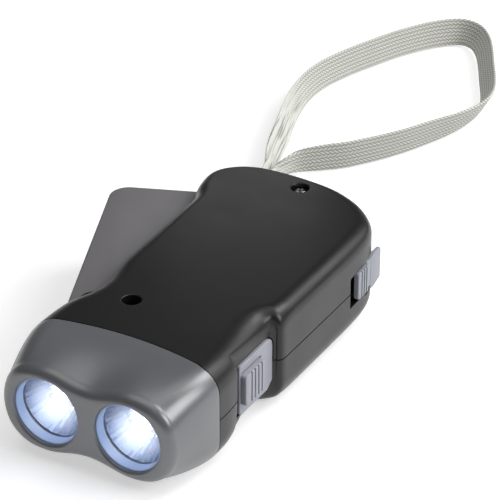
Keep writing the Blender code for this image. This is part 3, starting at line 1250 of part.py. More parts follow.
def make_switch(finishes, root):
    """The front slider with its thumb block and stem, and the switch can that it works."""
    inner = NECK_FLOOR_X + GAP
    outer = inner + SWITCH_PLATE
    outline = chamfered(SWITCH_FRONT, SWITCH_REAR, SWITCH_LOW, SWITCH_HIGH, SWITCH_CORNER)
    slider = side_plate("switch_slider", outline, inner, outer, finish=finishes["slider"], parent=root)
    thumb = thumb_block(SWITCH_THUMB_FRONT, SWITCH_THUMB_REAR, SWITCH_THUMB_LOW, SWITCH_THUMB_HIGH,
                        inner + BITE, outer + SWITCH_THUMB_RISE, RIB_COUNT, root)
    join(slider, thumb)
    middle = (SWITCH_THUMB_FRONT + SWITCH_THUMB_REAR) / 2
    can_right = SWITCH_CAN_X + SWITCH_CAN_DEPTH
    half_long, half_high = SWITCH_STEM_LENGTH / 2, SWITCH_STEM_HEIGHT / 2
    stem = box("stem", (can_right - SWITCH_CAN_NOTCH + GAP, middle - half_long, MID_Z - half_high),
               (inner + BITE, middle + half_long, MID_Z + half_high), parent=root)
    join(slider, stem)
    can_low = BOARD_BOTTOM - GAP - SWITCH_CAN_HEIGHT
    can_mid = middle - SWITCH_TRAVEL / 2
    can = box("slide_switch", (SWITCH_CAN_X, can_mid - SWITCH_CAN_LENGTH / 2, can_low),
              (can_right, can_mid + SWITCH_CAN_LENGTH / 2, BOARD_BOTTOM - GAP), finish=finishes["steel"],
              parent=root)
    rise = half_high + GAP
    reach = half_long + GAP
    cut(can, box("notch", (can_right - SWITCH_CAN_NOTCH, middle - reach - SWITCH_TRAVEL, MID_Z - rise),
                 (can_right + OVERRUN, middle + reach, MID_Z + rise), parent=root))


def make_lock(finishes, root):
    """The rear slider with its thumb block, and the tongue that reaches the lever's catch."""
    outer = LOCK_X + LOCK_PLATE
    outline = chamfered(LOCK_FRONT, LOCK_REAR, LOCK_LOW, LOCK_HIGH, LOCK_CORNER)
    slider = side_plate("lock_slider", outline, LOCK_X, outer, finish=finishes["slider"], parent=root)
    thumb = thumb_block(LOCK_FRONT, LOCK_THUMB_REAR, LOCK_LOW, LOCK_HIGH, LOCK_X + BITE,
                        outer + LOCK_THUMB_RISE, LOCK_RIBS, root)
    join(slider, thumb)
    outline = chamfered(LOCK_TAIL_FRONT, LOCK_REAR, LOCK_TAIL_LOW, LOCK_TAIL_HIGH, LOCK_TAIL_CORNER)
    outline = outline[:6] + ((LOCK_TAIL_FRONT, LOCK_TAIL_HIGH), (LOCK_TAIL_FRONT, LOCK_TAIL_LOW))
    join(slider, side_plate("tail", outline, LOCK_TAIL_X, outer, parent=root))
    join(slider, box("arm", (STEM_X, TONGUE_FRONT, STEM_LOW), (LOCK_X + BITE, TONGUE_REAR, STEM_HIGH),
                     parent=root))
    join(slider, box("riser", (STEM_X, TONGUE_FRONT, STEM_LOW),
                     (STEM_X + STEM_WIDTH, TONGUE_REAR, TONGUE_TOP), parent=root))
    tip_end = TONGUE_TIP_X + TONGUE_TIP_WIDTH
    middle = STEM_X + STEM_WIDTH / 2
    tongue = ((TONGUE_TIP_X, TONGUE_TIP_FRONT), (tip_end, TONGUE_TIP_FRONT), (tip_end, TONGUE_FRONT),
              (middle, TONGUE_FRONT), (middle, TONGUE_REAR), (TONGUE_TIP_X, TONGUE_REAR))
    join(slider, prism("tongue", tongue, TONGUE_BOTTOM, TONGUE_TOP, parent=root))


def make_electrics(finishes, root):
    """Three cells in their holder, and the main board over them."""
    right = CELL_FIRST_X + CELL_COUNT * (CELL_THICK + GAP)
    reach = CELL_RADIUS + GAP
    half = reach + HOLDER_SIDE / 2
    holder = box("cell_holder", (CELL_FIRST_X - GAP - HOLDER_SIDE, CELL_Y - half, HOLDER_BOTTOM),
                 (right + HOLDER_SIDE, CELL_Y + half, HOLDER_TOP), finish=finishes["black"], parent=root)
    bed = stacked("bed", ((reach, CELL_FIRST_X - GAP), (reach, right)), sides=ROUND_SIDES, parent=root)
    bed.matrix_local = Matrix.Translation((0, CELL_Y, CELL_Z)) @ Matrix.Rotation(math.pi / 2, 4, "Y")
    cut(holder, bed)
    for number in range(CELL_COUNT):
        low = CELL_FIRST_X + number * (CELL_THICK + GAP)
        rim = CELL_RADIUS - HOLDER_SIDE
        levels = ((CELL_RADIUS, low), (CELL_RADIUS, low + CELL_THICK - GAP), (rim, low + CELL_THICK - GAP),
                  (rim, low + CELL_THICK))
        cell = stacked("cell_" + str(number + 1), levels, finish=finishes["steel"], parent=root)
        cell.matrix_local = Matrix.Translation((0, CELL_Y, CELL_Z)) @ Matrix.Rotation(math.pi / 2, 4, "Y")
    board = box("main_board", (BOARD_LEFT, BOARD_FRONT, BOARD_BOTTOM),
                (BOARD_RIGHT, BOARD_REAR, BOARD_BOTTOM + BOARD_THICK), finish=finishes["board"], parent=root)
    return board


def make_leads(finishes, root):
    """Two leads from the lamp board to the main board."""
    board_z = BOARD_BOTTOM + BOARD_THICK + GAP + LEAD_RADIUS
    lamp_y = lamp_stations()[-1] + LAMP_BOARD_THICK + GAP + LEAD_RADIUS
    lamp_z = LENS_Z + LAMP_BOARD_HALF_HEIGHT - WALL
    for number, finish in enumerate(("red", "black"), 1):
        x = BOARD_LEFT + number * CELL_THICK
        top = board_z + number * LEAD_RADIUS
        spots = [Vector((x, lamp_y, lamp_z)), Vector((x, lamp_y + WALL, lamp_z + LEAD_RADIUS)),
                 Vector((x, BOARD_FRONT, top + LEAD_RADIUS)), Vector((x, BOARD_FRONT + WALL + WALL, board_z))]
        smooth = [curve_through(spots, k / 9) for k in range(10)]
        tube("lamp_lead_" + str(number), smooth, LEAD_RADIUS, finishes[finish], root, 1)


def make_strap(finishes, root):
    """The flat wrist strap, standing on its edge, one band from the slot and back to it."""
    spots = [Vector(p) * MM for p in STRAP_ROUTE_MM]
    smooth = [curve_through(spots, k / (STRAP_POINTS - 1)) for k in range(STRAP_POINTS)]
    length = sum((b - a).length for a, b in zip(smooth, smooth[1:]))
    print("wrist_strap length, mm:", round(length / MM, 1))
    half_flat = STRAP_WIDTH / 2 - STRAP_HALF_THICK
    tube("wrist_strap", smooth, STRAP_HALF_THICK, finishes["strap"], root, 1, half_flat)


def build():
    """Clears the scene and builds the whole torch."""
    for old in list(bpy.data.objects):
        bpy.data.objects.remove(old)
    root = bpy.data.objects.new("torch", None)
    bpy.context.collection.objects.link(root)
    finishes = {
        "shell": material("black_shell", "#2b2b2e", 0.45),
        "head": material("grey_head", "#6a6b6f", 0.35),
        "lever": material("grey_lever", "#706e72", 0.5),
        "slider": material("pale_slider", "#b9bac6", 0.45),
        "clear": material("clear_window", "#dfe6f2", 0.05),
        "mirror": material("bright_reflector", "#d8dce4", 0.08, 1.0),
        "lamp": material("white_lamp", "#f4f7ff", 0.2),
        "board": material("green_board", "#2f5f3c", 0.6),
        "nylon": material("white_nylon", "#e6e4dc", 0.5),
        "brass": material("brass", "#b99a5b", 0.3, 1.0),
        "steel": material("steel", "#b4b6ba", 0.3, 1.0),
        "magnet": material("magnet", "#4a4c50", 0.45, 0.6),
        "copper": material("copper_winding", "#a8582c", 0.35, 0.9),
        "strap": material("grey_strap", "#c9cac4", 0.9),
        "red": material("red_lead", "#a02828", 0.5),
        "black": material("black_plastic", "#1f1f21", 0.5),
    }
    make_shell("top_shell", finishes["shell"], root, 1)
    make_shell("bottom_shell", finishes["shell"], root, -1)
    make_head(finishes["head"], root)
    make_lamps(finishes, root)
    make_lever(finishes["lever"], root)
    make_rack(finishes["nylon"], finishes["steel"], root)
    make_spring(finishes["steel"], root)
    make_train(finishes, root)
    make_frame(finishes, root)
    make_generator(finishes, root)
    make_screws(finishes["steel"], root)
    make_switch(finishes, root)
    make_lock(finishes, root)
    make_electrics(finishes, root)
    make_leads(finishes, root)
    make_strap(finishes, root)
    root.location = (0, -ORIGIN_FROM_FRONT, 0)
    bpy.context.view_layer.update()


build()
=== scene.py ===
"""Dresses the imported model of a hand-squeezed dynamo torch and sets it out as a product picture.

Sizes are in drawing millimetres: x across, s rearwards from the head's flat front, z up from the floor.
They become metres in the row frame when a mesh is made.
"""
import logging
import math
from dataclasses import dataclass
from enum import Enum
from typing import Any, Sequence

import bmesh
import bpy
import numpy as np
from mathutils import Matrix, Vector, kdtree


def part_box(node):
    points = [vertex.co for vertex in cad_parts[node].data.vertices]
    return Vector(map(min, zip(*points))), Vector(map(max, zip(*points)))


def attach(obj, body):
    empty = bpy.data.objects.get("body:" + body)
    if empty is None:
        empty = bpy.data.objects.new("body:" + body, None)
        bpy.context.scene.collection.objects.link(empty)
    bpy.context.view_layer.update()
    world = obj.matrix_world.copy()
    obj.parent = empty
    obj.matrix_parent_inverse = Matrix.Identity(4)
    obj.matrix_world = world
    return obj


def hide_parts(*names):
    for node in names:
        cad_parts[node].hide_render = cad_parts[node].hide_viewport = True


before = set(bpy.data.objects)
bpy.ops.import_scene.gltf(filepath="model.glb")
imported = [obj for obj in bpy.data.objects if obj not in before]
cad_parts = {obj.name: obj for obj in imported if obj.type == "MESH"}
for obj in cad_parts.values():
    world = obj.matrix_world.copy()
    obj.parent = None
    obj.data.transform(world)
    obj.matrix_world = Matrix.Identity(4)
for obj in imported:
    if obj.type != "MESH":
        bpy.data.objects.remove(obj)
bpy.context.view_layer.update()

log = logging.getLogger("torch")

MM = 0.001
FRONT_TO_ORIGIN = 58.0
BODY_HEIGHT = 26.0
LENS_AXIS = (10.8, 13.4)
LEVER_PIVOT = (-17.0, 31.5)
STRAP_PIN = (-15.8, 100.6)
Pair = tuple[float, float]
Spot = tuple[float, float, float]
Cuboid = tuple[Spot, Spot]
Faces = list[tuple[int, ...]]
Feeds = dict[int | str, Any]
Tree = bpy.types.NodeTree


class Half(Enum):
    """The two shells: the piece's name, its node, and the levels between which it is cut away."""

    UPPER = ("upper_body_shell", "top_shell", -4.0, 13.15)
    LOWER = ("lower_body_shell", "bottom_shell", 12.85, 30.0)


class Lens(Enum):
    """The two lamps, by the side of the middle that they are on."""

    LEFT = -1
    RIGHT = 1


class Facing(Enum):
    """Which drawing axes an outline lies in, and the axis that it is raised along."""

    UP = (0, 1, 2)
    SIDE = (1, 2, 0)
    FRONT = (0, 2, 1)


# ---------------------------------------------------------------------------------------------
# Bench: outlines, meshes and cuts
# ---------------------------------------------------------------------------------------------

def to_row(spots: Any) -> np.ndarray:
    """Gives places in drawing millimetres in the row frame's metres."""
    return (np.asarray(spots, float) - (0, FRONT_TO_ORIGIN, 0)) * MM


def to_drawing(spots: Any) -> np.ndarray:
    """Gives places in the row frame's metres in drawing millimetres."""
    return np.asarray(spots, float) / MM + (0, FRONT_TO_ORIGIN, 0)


def ease(place: Any, start: float, end: float) -> Any:
    """Rises smoothly from 0 at a start to 1 at an end, and stays level outside them."""
    share = np.clip((place - start) / (end - start), 0, 1)
    return share * share * (3 - 2 * share)


def fillet(corners: Sequence[Pair], radii: Sequence[float], steps: int = 5) -> np.ndarray:
    """Rounds the corners of a closed outline.

    Args:
        corners: the corner points in order.
        radii: the rounding of each corner, 0 for a sharp one.
        steps: how many chords make one rounding.

    Returns:
        The points of the rounded outline.
    """
    found = []
    count = len(corners)
    for i, radius in enumerate(radii):
        here = np.array(corners[i], float)
        back = np.array(corners[i - 1], float) - here
        ahead = np.array(corners[(i + 1) % count], float) - here
        back, ahead = back / np.linalg.norm(back), ahead / np.linalg.norm(ahead)
        half = math.acos(max(-1.0, min(1.0, float(back @ ahead)))) / 2
        if radius <= 0 or half > 1.56:
            found.append(here)
            continue
        middle = back + ahead
        centre = here + middle / np.linalg.norm(middle) * radius / math.sin(half)
        start = here + back * radius / math.tan(half) - centre
        end = here + ahead * radius / math.tan(half) - centre
        first = math.atan2(start[1], start[0])
        sweep = (math.atan2(end[1], end[0]) - first + math.pi) % math.tau - math.pi
        for k in range(steps + 1):
            turn = first + sweep * k / steps
            found.append(centre + radius * np.array((math.cos(turn), math.sin(turn))))
    return np.array(found)


def inset(outline: np.ndarray, depth: float) -> np.ndarray:
    """Moves an anticlockwise outline inwards by a depth, mitred at its corners.

    Args:
        outline: the outline's points.
        depth: how far it moves.

    Returns:
        The smaller outline.
    """
    before = outline - np.roll(outline, 1, axis=0)
    after = np.roll(outline, -1, axis=0) - outline
    before /= np.linalg.norm(before, axis=1)[:, None]
    after /= np.linalg.norm(after, axis=1)[:, None]
    first = np.stack((before[:, 1], -before[:, 0]), axis=1)
    second = np.stack((after[:, 1], -after[:, 0]), axis=1)
    reach = 1 + np.maximum((first * second).sum(axis=1), -0.5)
    return outline - (first + second) / reach[:, None] * depth


def raised(outline: np.ndarray, height: float, facing: Facing) -> np.ndarray:
    """Puts a flat outline into the drawing at one height.

    Args:
        outline: the flat outline.
        height: its place along the axis it is raised along.
        facing: the way that it faces.

    Returns:
        Its places in the drawing.
    """
    spots = np.empty((len(outline), 3))
    spots[:, facing.value[0]] = outline[:, 0]
    spots[:, facing.value[1]] = outline[:, 1]
    spots[:, facing.value[2]] = height
    return spots


def skin(rings: Sequence[np.ndarray], closed: bool = False) -> tuple[np.ndarray, Faces]:
    """Joins rings of equal count into a body.

    Args:
        rings: the rings in order.
        closed: whether the last ring meets the first, or both ends get a flat cap.

    Returns:
        The points and the faces.
    """
    count = len(rings[0])
    faces: Faces = [] if closed else [tuple(range(count))]
    for level in range(len(rings) if closed else len(rings) - 1):
        low, high = level * count, (level + 1) % len(rings) * count
        faces += [(low + i, low + (i + 1) % count, high + (i + 1) % count, high + i) for i in range(count)]
    if not closed:
        last = (len(rings) - 1) * count
        faces.append(tuple(range(last + count - 1, last - 1, -1)))
    return np.concatenate(rings), faces


def smooth_line(spots: np.ndarray, shares: np.ndarray) -> np.ndarray:
    """Gives points of the smooth curve through spots, at shares of their count.

    Args:
        spots: the places that the curve runs through.
        shares: how far along each point lies, from 0 to 1.

    Returns:
        The points.
    """
    spans = len(spots) - 1
    at = np.clip(shares * spans, 0, spans - 1e-9)
    i = at.astype(int)
    t = (at - i)[:, None]
    a, b, c, d = (spots[np.clip(i + k, 0, spans)] for k in (-1, 0, 1, 2))
    return 0.5 * (2 * b + (c - a) * t + (2 * a - 5 * b + 4 * c - d) * t ** 2
                  + (3 * b - a - 3 * c + d) * t ** 3)


def evened(line: np.ndarray, step: float, *values: np.ndarray) -> list[np.ndarray]:
    """Spaces a line's points evenly.

    Args:
        line: the points.
        step: the space between the new points.
        values: further values at the points.

    Returns:
        How far along the line each new point lies, the new points, and the further values there.
    """
    reach = np.concatenate(([0], np.cumsum(np.linalg.norm(np.diff(line, axis=0), axis=1))))
    even = np.linspace(0, reach[-1], int(reach[-1] / step))
    spots = np.stack([np.interp(even, reach, column) for column in line.T], axis=1)
    return [even, spots, *(np.interp(even, reach, value) for value in values)]


class Blank:
    """A workpiece or tool: a closed mesh that is shaped before it becomes a piece of the torch."""

    def __init__(self, name: str, points: np.ndarray, faces: Faces) -> None:
        """Makes the mesh, turned from drawing millimetres to the row frame's metres.

        Args:
            name: the mesh's name.
            points: its points in drawing millimetres.
            faces: its faces, each a row of the points' numbers.
        """
        mesh = bpy.data.meshes.new(name)
        mesh.from_pydata(to_row(points).tolist(), [], faces)
        shape = bmesh.new()
        shape.from_mesh(mesh)
        bmesh.ops.recalc_face_normals(shape, faces=shape.faces)
        if shape.calc_volume(signed=True) < 0:
            bmesh.ops.reverse_faces(shape, faces=shape.faces)
        shape.to_mesh(mesh)
        shape.free()
        self.object = bpy.data.objects.new(name, mesh)
        bpy.context.collection.objects.link(self.object)

    def change(self, kind: str, settings: dict[str, Any]) -> "Blank":
        """Applies one modifier.

        Args:
            kind: the modifier's type.
            settings: its settings by name.

        Returns:
            The blank itself.
        """
        change = self.object.modifiers.new(kind, kind)
        for name, value in settings.items():
            setattr(change, name, value)
        bpy.context.view_layer.update()
        seen = self.object.evaluated_get(bpy.context.evaluated_depsgraph_get())
        shaped = bpy.data.meshes.new_from_object(seen)
        old = self.object.data
        self.object.modifiers.clear()
        self.object.data = shaped
        bpy.data.meshes.remove(old)
        return self

    def work(self, operation: str, tools: Sequence["Blank"]) -> "Blank":
        """Cuts the tools out or joins them on, and uses them up.

        Args:
            operation: DIFFERENCE to cut or UNION to join.
            tools: the tools.

        Returns:
            The blank itself.
        """
        for tool in tools:
            self.change("BOOLEAN", {"operation": operation, "object": tool.object, "solver": "MANIFOLD"})
            bpy.data.objects.remove(tool.object)
        return self

    def cut(self, *tools: "Blank") -> "Blank":
        """Takes the tools' space out."""
        return self.work("DIFFERENCE", tools)

    def join(self, *tools: "Blank") -> "Blank":
        """Adds the tools' bodies."""
        return self.work("UNION", tools)

    def turn(self, degrees: float, centre: Pair) -> "Blank":
        """Turns the blank about an upright axis through a place in the plan.

        Args:
            degrees: how far it turns.
            centre: the place.

        Returns:
            The blank itself.
        """
        pivot = Vector(to_row((*centre, 0.0)))
        spin = Matrix.Rotation(math.radians(degrees), 4, "Z")
        self.object.data.transform(Matrix.Translation(pivot) @ spin @ Matrix.Translation(-pivot))
        return self

    def deliver(self, body: str, finish: "Finish", slot: str, *nodes: str,
                crease: float = 32.0) -> bpy.types.Object:
        """Makes the blank a piece of the torch.

        Args:
            body: the moving body that the piece rides on.
            finish: what it is made of.
            slot: not used.
            nodes: the model's nodes that it stands for.
            crease: the angle in degrees above which an edge stays sharp.

        Returns:
            The piece.
        """
        mesh = self.object.data
        mesh.shade_smooth()
        if crease:
            mesh.set_sharp_from_angle(angle=math.radians(crease))
        mesh.materials.clear()
        mesh.materials.append(finish.material())
        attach(self.object, body)
        if nodes:
            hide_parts(*nodes)
        log.info("%s: %d faces", self.object.name, len(mesh.polygons))
        return self.object


def block(low: Spot, high: Spot) -> Blank:
    """Makes a plain tool with its corners at two places."""
    outline = np.array(((low[0], low[1]), (high[0], low[1]), (high[0], high[1]), (low[0], high[1])))
    return Blank("tool", *skin([raised(outline, z, Facing.UP) for z in (low[2], high[2])]))


def plate(name: str, outline: np.ndarray, low: float, high: float, edges: Pair = (0.0, 0.0),
          facing: Facing = Facing.UP, steps: int = 4) -> Blank:
    """Raises an outline to a plate with rounded edges.

    Args:
        name: the piece's name.
        outline: its anticlockwise outline.
        low: where it starts.
        high: where it ends.
        edges: the rounding of its first and last edge.
        facing: the way it is raised.
        steps: how many chords make one rounding.

    Returns:
        The plate.
    """
    rings = []
    for end, way, radius, chords in ((low, 1, edges[0], range(steps + 1)),
                                     (high, -1, edges[1], range(steps, -1, -1))):
        for k in chords if radius else (steps,):
            turn = math.pi / 2 * k / steps
            rings.append(raised(inset(outline, radius * (1 - math.sin(turn))),
                                end + way * radius * (1 - math.cos(turn)), facing))
    return Blank(name, *skin(rings))


def ring(centre: Pair, reach: float | np.ndarray, turns: np.ndarray, height: float,
         facing: Facing) -> np.ndarray:
    """Draws a ring round an axis, with one reach or with a reach for each of its turns."""
    spots = np.stack((centre[0] + reach * np.cos(turns), centre[1] + reach * np.sin(turns)), axis=1)
    return raised(spots, height, facing)


def turned(name: str, profile: Sequence[Pair], centre: Pair, sides: int = 64, facing: Facing = Facing.UP,
           bored: bool = False) -> Blank:
    """Turns a profile round an axis.

    Args:
        name: the piece's name.
        profile: pairs of radius and height.
        centre: where the axis stands in the outline's plane.
        sides: how many sides the round has.
        facing: the way that the axis points.
        bored: whether the profile is a closed loop round an open bore.

    Returns:
        The turned body.
    """
    turns = np.arange(sides) * math.tau / sides
    rings = [ring(centre, radius, turns, height, facing) for radius, height in profile]
    return Blank(name, *skin(rings, closed=bored))


def post(centre: Pair, radius: float, low: float, high: float, sides: int = 40) -> Blank:
    """Makes an upright round tool or boss."""
    return turned("tool", ((radius, low), (radius, high)), centre, sides)


# ---------------------------------------------------------------------------------------------
# Finishes
# ---------------------------------------------------------------------------------------------

def linear(code: str) -> tuple[float, float, float, float]:
    """Turns an sRGB hex colour into the linear colour that shaders take."""
    parts = [int(code[i:i + 2], 16) / 255 for i in (1, 3, 5)]
    return (*[p / 12.92 if p <= 0.04045 else ((p + 0.055) / 1.055) ** 2.4 for p in parts], 1.0)


def feed(node: bpy.types.Node, feeds: Feeds) -> None:
    """Gives a node its inputs, each a value or another node's output.

    Args:
        node: the node.
        feeds: its inputs by name or number.
    """
    for name, value in feeds.items():
        if isinstance(value, bpy.types.NodeSocket):
            node.id_data.links.new(value, node.inputs[name])
        else:
            node.inputs[name].default_value = value


def add_node(tree: Tree, kind: str, settings: dict[str, Any] | None = None,
             feeds: Feeds | None = None) -> bpy.types.Node:
    """Adds a shader node with its settings and links.

    Args:
        tree: the node tree.
        kind: the node's type without its ShaderNode prefix.
        settings: its settings by name; "stops" gives a colour ramp's places and colours.
        feeds: its inputs by name or number, each a value or another node's output.

    Returns:
        The node.
    """
    node = tree.nodes.new("ShaderNode" + kind)
    for name, value in (settings or {}).items():
        if name == "stops":
            ramp = node.color_ramp
            while len(ramp.elements) < len(value):
                ramp.elements.new(1.0)
            for element, (place, colour) in zip(ramp.elements, value):
                element.position, element.color = place, linear(colour)
        else:
            setattr(node, name, value)
    feed(node, feeds or {})
    return node


@dataclass(frozen=True)
class Finish:
    """What a surface is made of, with the values that are the same all over it."""

    name: str
    colour: str
    roughness: float
    metallic: float = 0.0
    ior: float = 1.5

    def material(self) -> bpy.types.Material:
        """Builds the material once and hands it out again after that.

        Returns:
            The material.
        """
        made = bpy.data.materials.get(self.name)
        if not made:
            made = bpy.data.materials.new(self.name)
            made.use_nodes = True
            made.diffuse_color = linear(self.colour)
            surface = made.node_tree.nodes["Principled BSDF"]
            feed(surface, {"Base Color": linear(self.colour), "Roughness": self.roughness,
                           "Metallic": self.metallic, "IOR": self.ior})
            feed(surface, self.marks(made.node_tree))
        return made

    def marks(self, tree: Tree) -> Feeds:
        """Gives the shader's inputs that show how the surface was made; a plain one has none."""
        return {}

    def drawing(self, tree: Tree, size: float) -> bpy.types.NodeSocket:
        """Gives coordinates on the piece in which one unit is a size in millimetres.

        Args:
            tree: the material's node tree.
            size: the size.

        Returns:
            The coordinates.
        """
        place = add_node(tree, "TexCoord")
        return add_node(tree, "VectorMath", {"operation": "SCALE"},
                        {0: place.outputs["Object"], "Scale": 1 / (size * MM)}).outputs[0]


@dataclass(frozen=True)
class MouldedPlastic(Finish):
    """Injection-moulded plastic from a spark-eroded mould: an even satin with a fine grain."""

    grain: float = 0.35
    depth: float = 0.012
    flow: float = 14.0
    mottle: float = 0.06
    rub: float = 0.035

    def marks(self, tree: Tree) -> Feeds:
        """Adds the mould's grain, a slow drift of colour where the melt flowed, and a rubbed sheen.

        Args:
            tree: the material's node tree.

        Returns:
            The shader's inputs, by name.
        """
        # The real grain is near 0.1 mm, too fine to show, so it is drawn a few times coarser.
        grain = add_node(tree, "TexNoise", None, {"Vector": self.drawing(tree, self.grain), "Scale": 1.0,
                                                  "Detail": 2.0, "Roughness": 0.6})
        flow = add_node(tree, "TexNoise", None, {"Vector": self.drawing(tree, self.flow), "Scale": 1.0,
                                                 "Detail": 3.0})
        darker, lighter = ([c * (1 + way * self.mottle) for c in linear(self.colour)[:3]] + [1.0]
                           for way in (-1, 1))
        tint = add_node(tree, "Mix", {"data_type": "RGBA"}, {0: flow.outputs[0], 6: darker, 7: lighter})
        rub = add_node(tree, "MapRange", None, {
            "Value": flow.outputs[0], "From Min": 0.3, "From Max": 0.7,
            "To Min": self.roughness + self.rub, "To Max": self.roughness - self.rub})
        bump = add_node(tree, "Bump", None, {"Strength": 0.5, "Distance": self.depth * MM,
                                             "Height": grain.outputs[0]})
        return {"Base Color": tint.outputs[2], "Roughness": rub.outputs[0], "Normal": bump.outputs[0]}


@dataclass(frozen=True)
class PaintedLampGlow(Finish):
    """Plastic in front of the lamp or round it, with a painted glow for the lamp's light that is brightest on
    the lens's axis.
    """

    glow: float = 1.6
    shine: str = "#e6eeff"
    fades: Pair = (4.8, 8.6)
    broken: float = 5.0

    def marks(self, tree: Tree) -> Feeds:
        """Adds a painted glow that stands in for the lamp's light, which breaks up as it fades away from the
        axis, in millimetres.

        Args:
            tree: the material's node tree.

        Returns:
            The shader's inputs, by name.
        """
        spot = add_node(tree, "TexCoord").outputs["Object"]
        for operation, feeds in (("ABSOLUTE", {}),
                                 ("SUBTRACT", {1: (LENS_AXIS[0] * MM, 0.0, LENS_AXIS[1] * MM)}),
                                 ("MULTIPLY", {1: (1 / MM, 0.0, 1 / MM)})):
            spot = add_node(tree, "VectorMath", {"operation": operation}, {0: spot, **feeds}).outputs[0]
        reach = add_node(tree, "VectorMath", {"operation": "LENGTH"}, {0: spot})
        streaks = add_node(tree, "TexNoise", None, {"Vector": self.drawing(tree, 2.2), "Scale": 1.0,
                                                    "Detail": 2.0})
        edge = add_node(tree, "Math", {"operation": "MULTIPLY_ADD"},
                        {0: streaks.outputs[0], 1: self.broken, 2: reach.outputs["Value"]})
        # The emission is painted light: a glow on plastic that is not itself a lamp.
        ramp = add_node(tree, "MapRange", {"interpolation_type": "SMOOTHSTEP"},
                        {"Value": edge.outputs[0], "From Min": self.fades[0], "From Max": self.fades[1],
                         "To Min": 1.0, "To Max": 0.0})
        tint = add_node(tree, "Mix", {"data_type": "RGBA"},
                        {0: ramp.outputs[0], 6: linear("#000000"), 7: linear(self.shine)})
        return {"Emission Strength": self.glow, "Emission Color": tint.outputs[2]}


@dataclass(frozen=True)
class ClearPlastic(PaintedLampGlow):
    """Moulded polycarbonate: the eye sees the lamp through it, and the studio faintly on it; a painted glow
    stands in for the lamp's light scattered in it.
    """

    veil: float = 0.12

    def marks(self, tree: Tree) -> Feeds:
        """Lets most of the light through, and adds a painted glow for a little of the lamp's light."""
        return {"Alpha": self.veil, **super().marks(tree)}


@dataclass(frozen=True)
class ChromedPlastic(PaintedLampGlow):
    """Plastic with a vacuum-laid aluminium skin: a cool mirror with a painted glow, brightest on the lens's
    axis, for the lamp's light on it.
    """


@dataclass(frozen=True)
class LampAndPaintedGlow(Finish):
    """Plastic with light in it: the lamp's epoxy dome, which is a real lamp, and the bore wall, whose glow is
    painted light for the lamp's light on it.
    """

    glow: float = 1.0
    shine: str = "#f2f6ff"
    streak: float = 0.3

    def marks(self, tree: Tree) -> Feeds:
        """Adds the light, a little uneven as it comes through the plastic; on the bore wall it is painted
        glow.

        Args:
            tree: the material's node tree.

        Returns:
            The shader's inputs, by name.
        """
        cloud = add_node(tree, "TexNoise", None, {"Vector": self.drawing(tree, 5.0), "Scale": 1.0,
                                                  "Detail": 1.0})
        base = linear(self.shine)
        dimmer = [c * (1 - self.streak) for c in base[:3]] + [1.0]
        tint = add_node(tree, "Mix", {"data_type": "RGBA"}, {0: cloud.outputs[0], 6: dimmer, 7: base})
        return {"Emission Strength": self.glow, "Emission Color": tint.outputs[2]}


@dataclass(frozen=True)
class WorkedMetal(Finish):
    """Drawn or turned metal: fine lines round or along it, and duller spots where it was handled."""

    line: float = 0.12
    stretch: Spot = (1.0, 1.0, 0.15)

    def marks(self, tree: Tree) -> Feeds:
        """Adds the tool's lines to the gloss and the height.

        Args:
            tree: the material's node tree.

        Returns:
            The shader's inputs, by name.
        """
        along = add_node(tree, "VectorMath", {"operation": "MULTIPLY"},
                         {0: self.drawing(tree, self.line), 1: self.stretch})
        lines = add_node(tree, "TexNoise", None, {"Vector": along.outputs[0], "Scale": 1.0, "Detail": 3.0})
        spots = add_node(tree, "TexNoise", None, {"Vector": self.drawing(tree, 3.0), "Scale": 1.0})
        both = add_node(tree, "Math", {"operation": "ADD"}, {0: lines.outputs[0], 1: spots.outputs[0]})
        gloss = add_node(tree, "MapRange", None, {
            "Value": both.outputs[0], "From Min": 0.6, "From Max": 1.4,
            "To Min": self.roughness - 0.08, "To Max": self.roughness + 0.1})
        bump = add_node(tree, "Bump", None, {"Strength": 0.4, "Distance": 0.01 * MM,
                                             "Height": lines.outputs[0]})
        return {"Roughness": gloss.outputs[0], "Normal": bump.outputs[0]}


@dataclass(frozen=True)
class WoundWire(Finish):
    """Enamelled copper wire wound in layers: bright turns with painted shade in dark lines between them."""

    wire: float = 0.3
    turned_by: float = -32.5

    def marks(self, tree: Tree) -> Feeds:
        """Draws the turns across the coil's axis, with painted shade between them.

        Args:
            tree: the material's node tree.

        Returns:
            The shader's inputs, by name.
        """
        # Real wire is near 0.1 mm, which would not show, so the turns are drawn 0.3 mm apart.
        turn = add_node(tree, "VectorRotate", {"rotation_type": "Z_AXIS"},
                        {"Vector": self.drawing(tree, self.wire), "Angle": -math.radians(self.turned_by)})
        wave = add_node(tree, "TexWave", {"wave_type": "BANDS", "bands_direction": "X"},
                        {"Vector": turn.outputs[0], "Scale": 0.314, "Distortion": 0.4})
        # The dark stop is painted shade in the grooves between turns.
        tint = add_node(tree, "ValToRGB", {"stops": ((0.1, "#4a2312"), (0.7, self.colour))},
                        {0: wave.outputs["Fac"]})
        bump = add_node(tree, "Bump", None, {"Strength": 0.8, "Distance": 0.08 * MM,
                                             "Height": wave.outputs["Fac"]})
        return {"Base Color": tint.outputs[0], "Normal": bump.outputs[0]}


@dataclass(frozen=True)
class CircuitBoard(Finish):
    """Glass-epoxy board under green solder mask: brighter lines where the copper runs."""

    track: float = 1.6

    def marks(self, tree: Tree) -> Feeds:
        """Draws the copper areas under the mask.

        Args:
            tree: the material's node tree.

        Returns:
            The shader's inputs, by name.
        """
        cells = add_node(tree, "TexVoronoi", {"feature": "DISTANCE_TO_EDGE", "distance": "EUCLIDEAN"},
                         {"Vector": self.drawing(tree, self.track), "Scale": 0.6, "Randomness": 0.6})
        edge = cells.outputs["Distance"]
        tint = add_node(tree, "ValToRGB", {"stops": ((0.05, "#24492f"), (0.09, self.colour),
                                                     (0.5, "#3d7a4c"))}, {0: edge})
        bump = add_node(tree, "Bump", None, {"Strength": 0.3, "Distance": 0.03 * MM, "Height": edge})
        return {"Base Color": tint.outputs[0], "Normal": bump.outputs[0]}


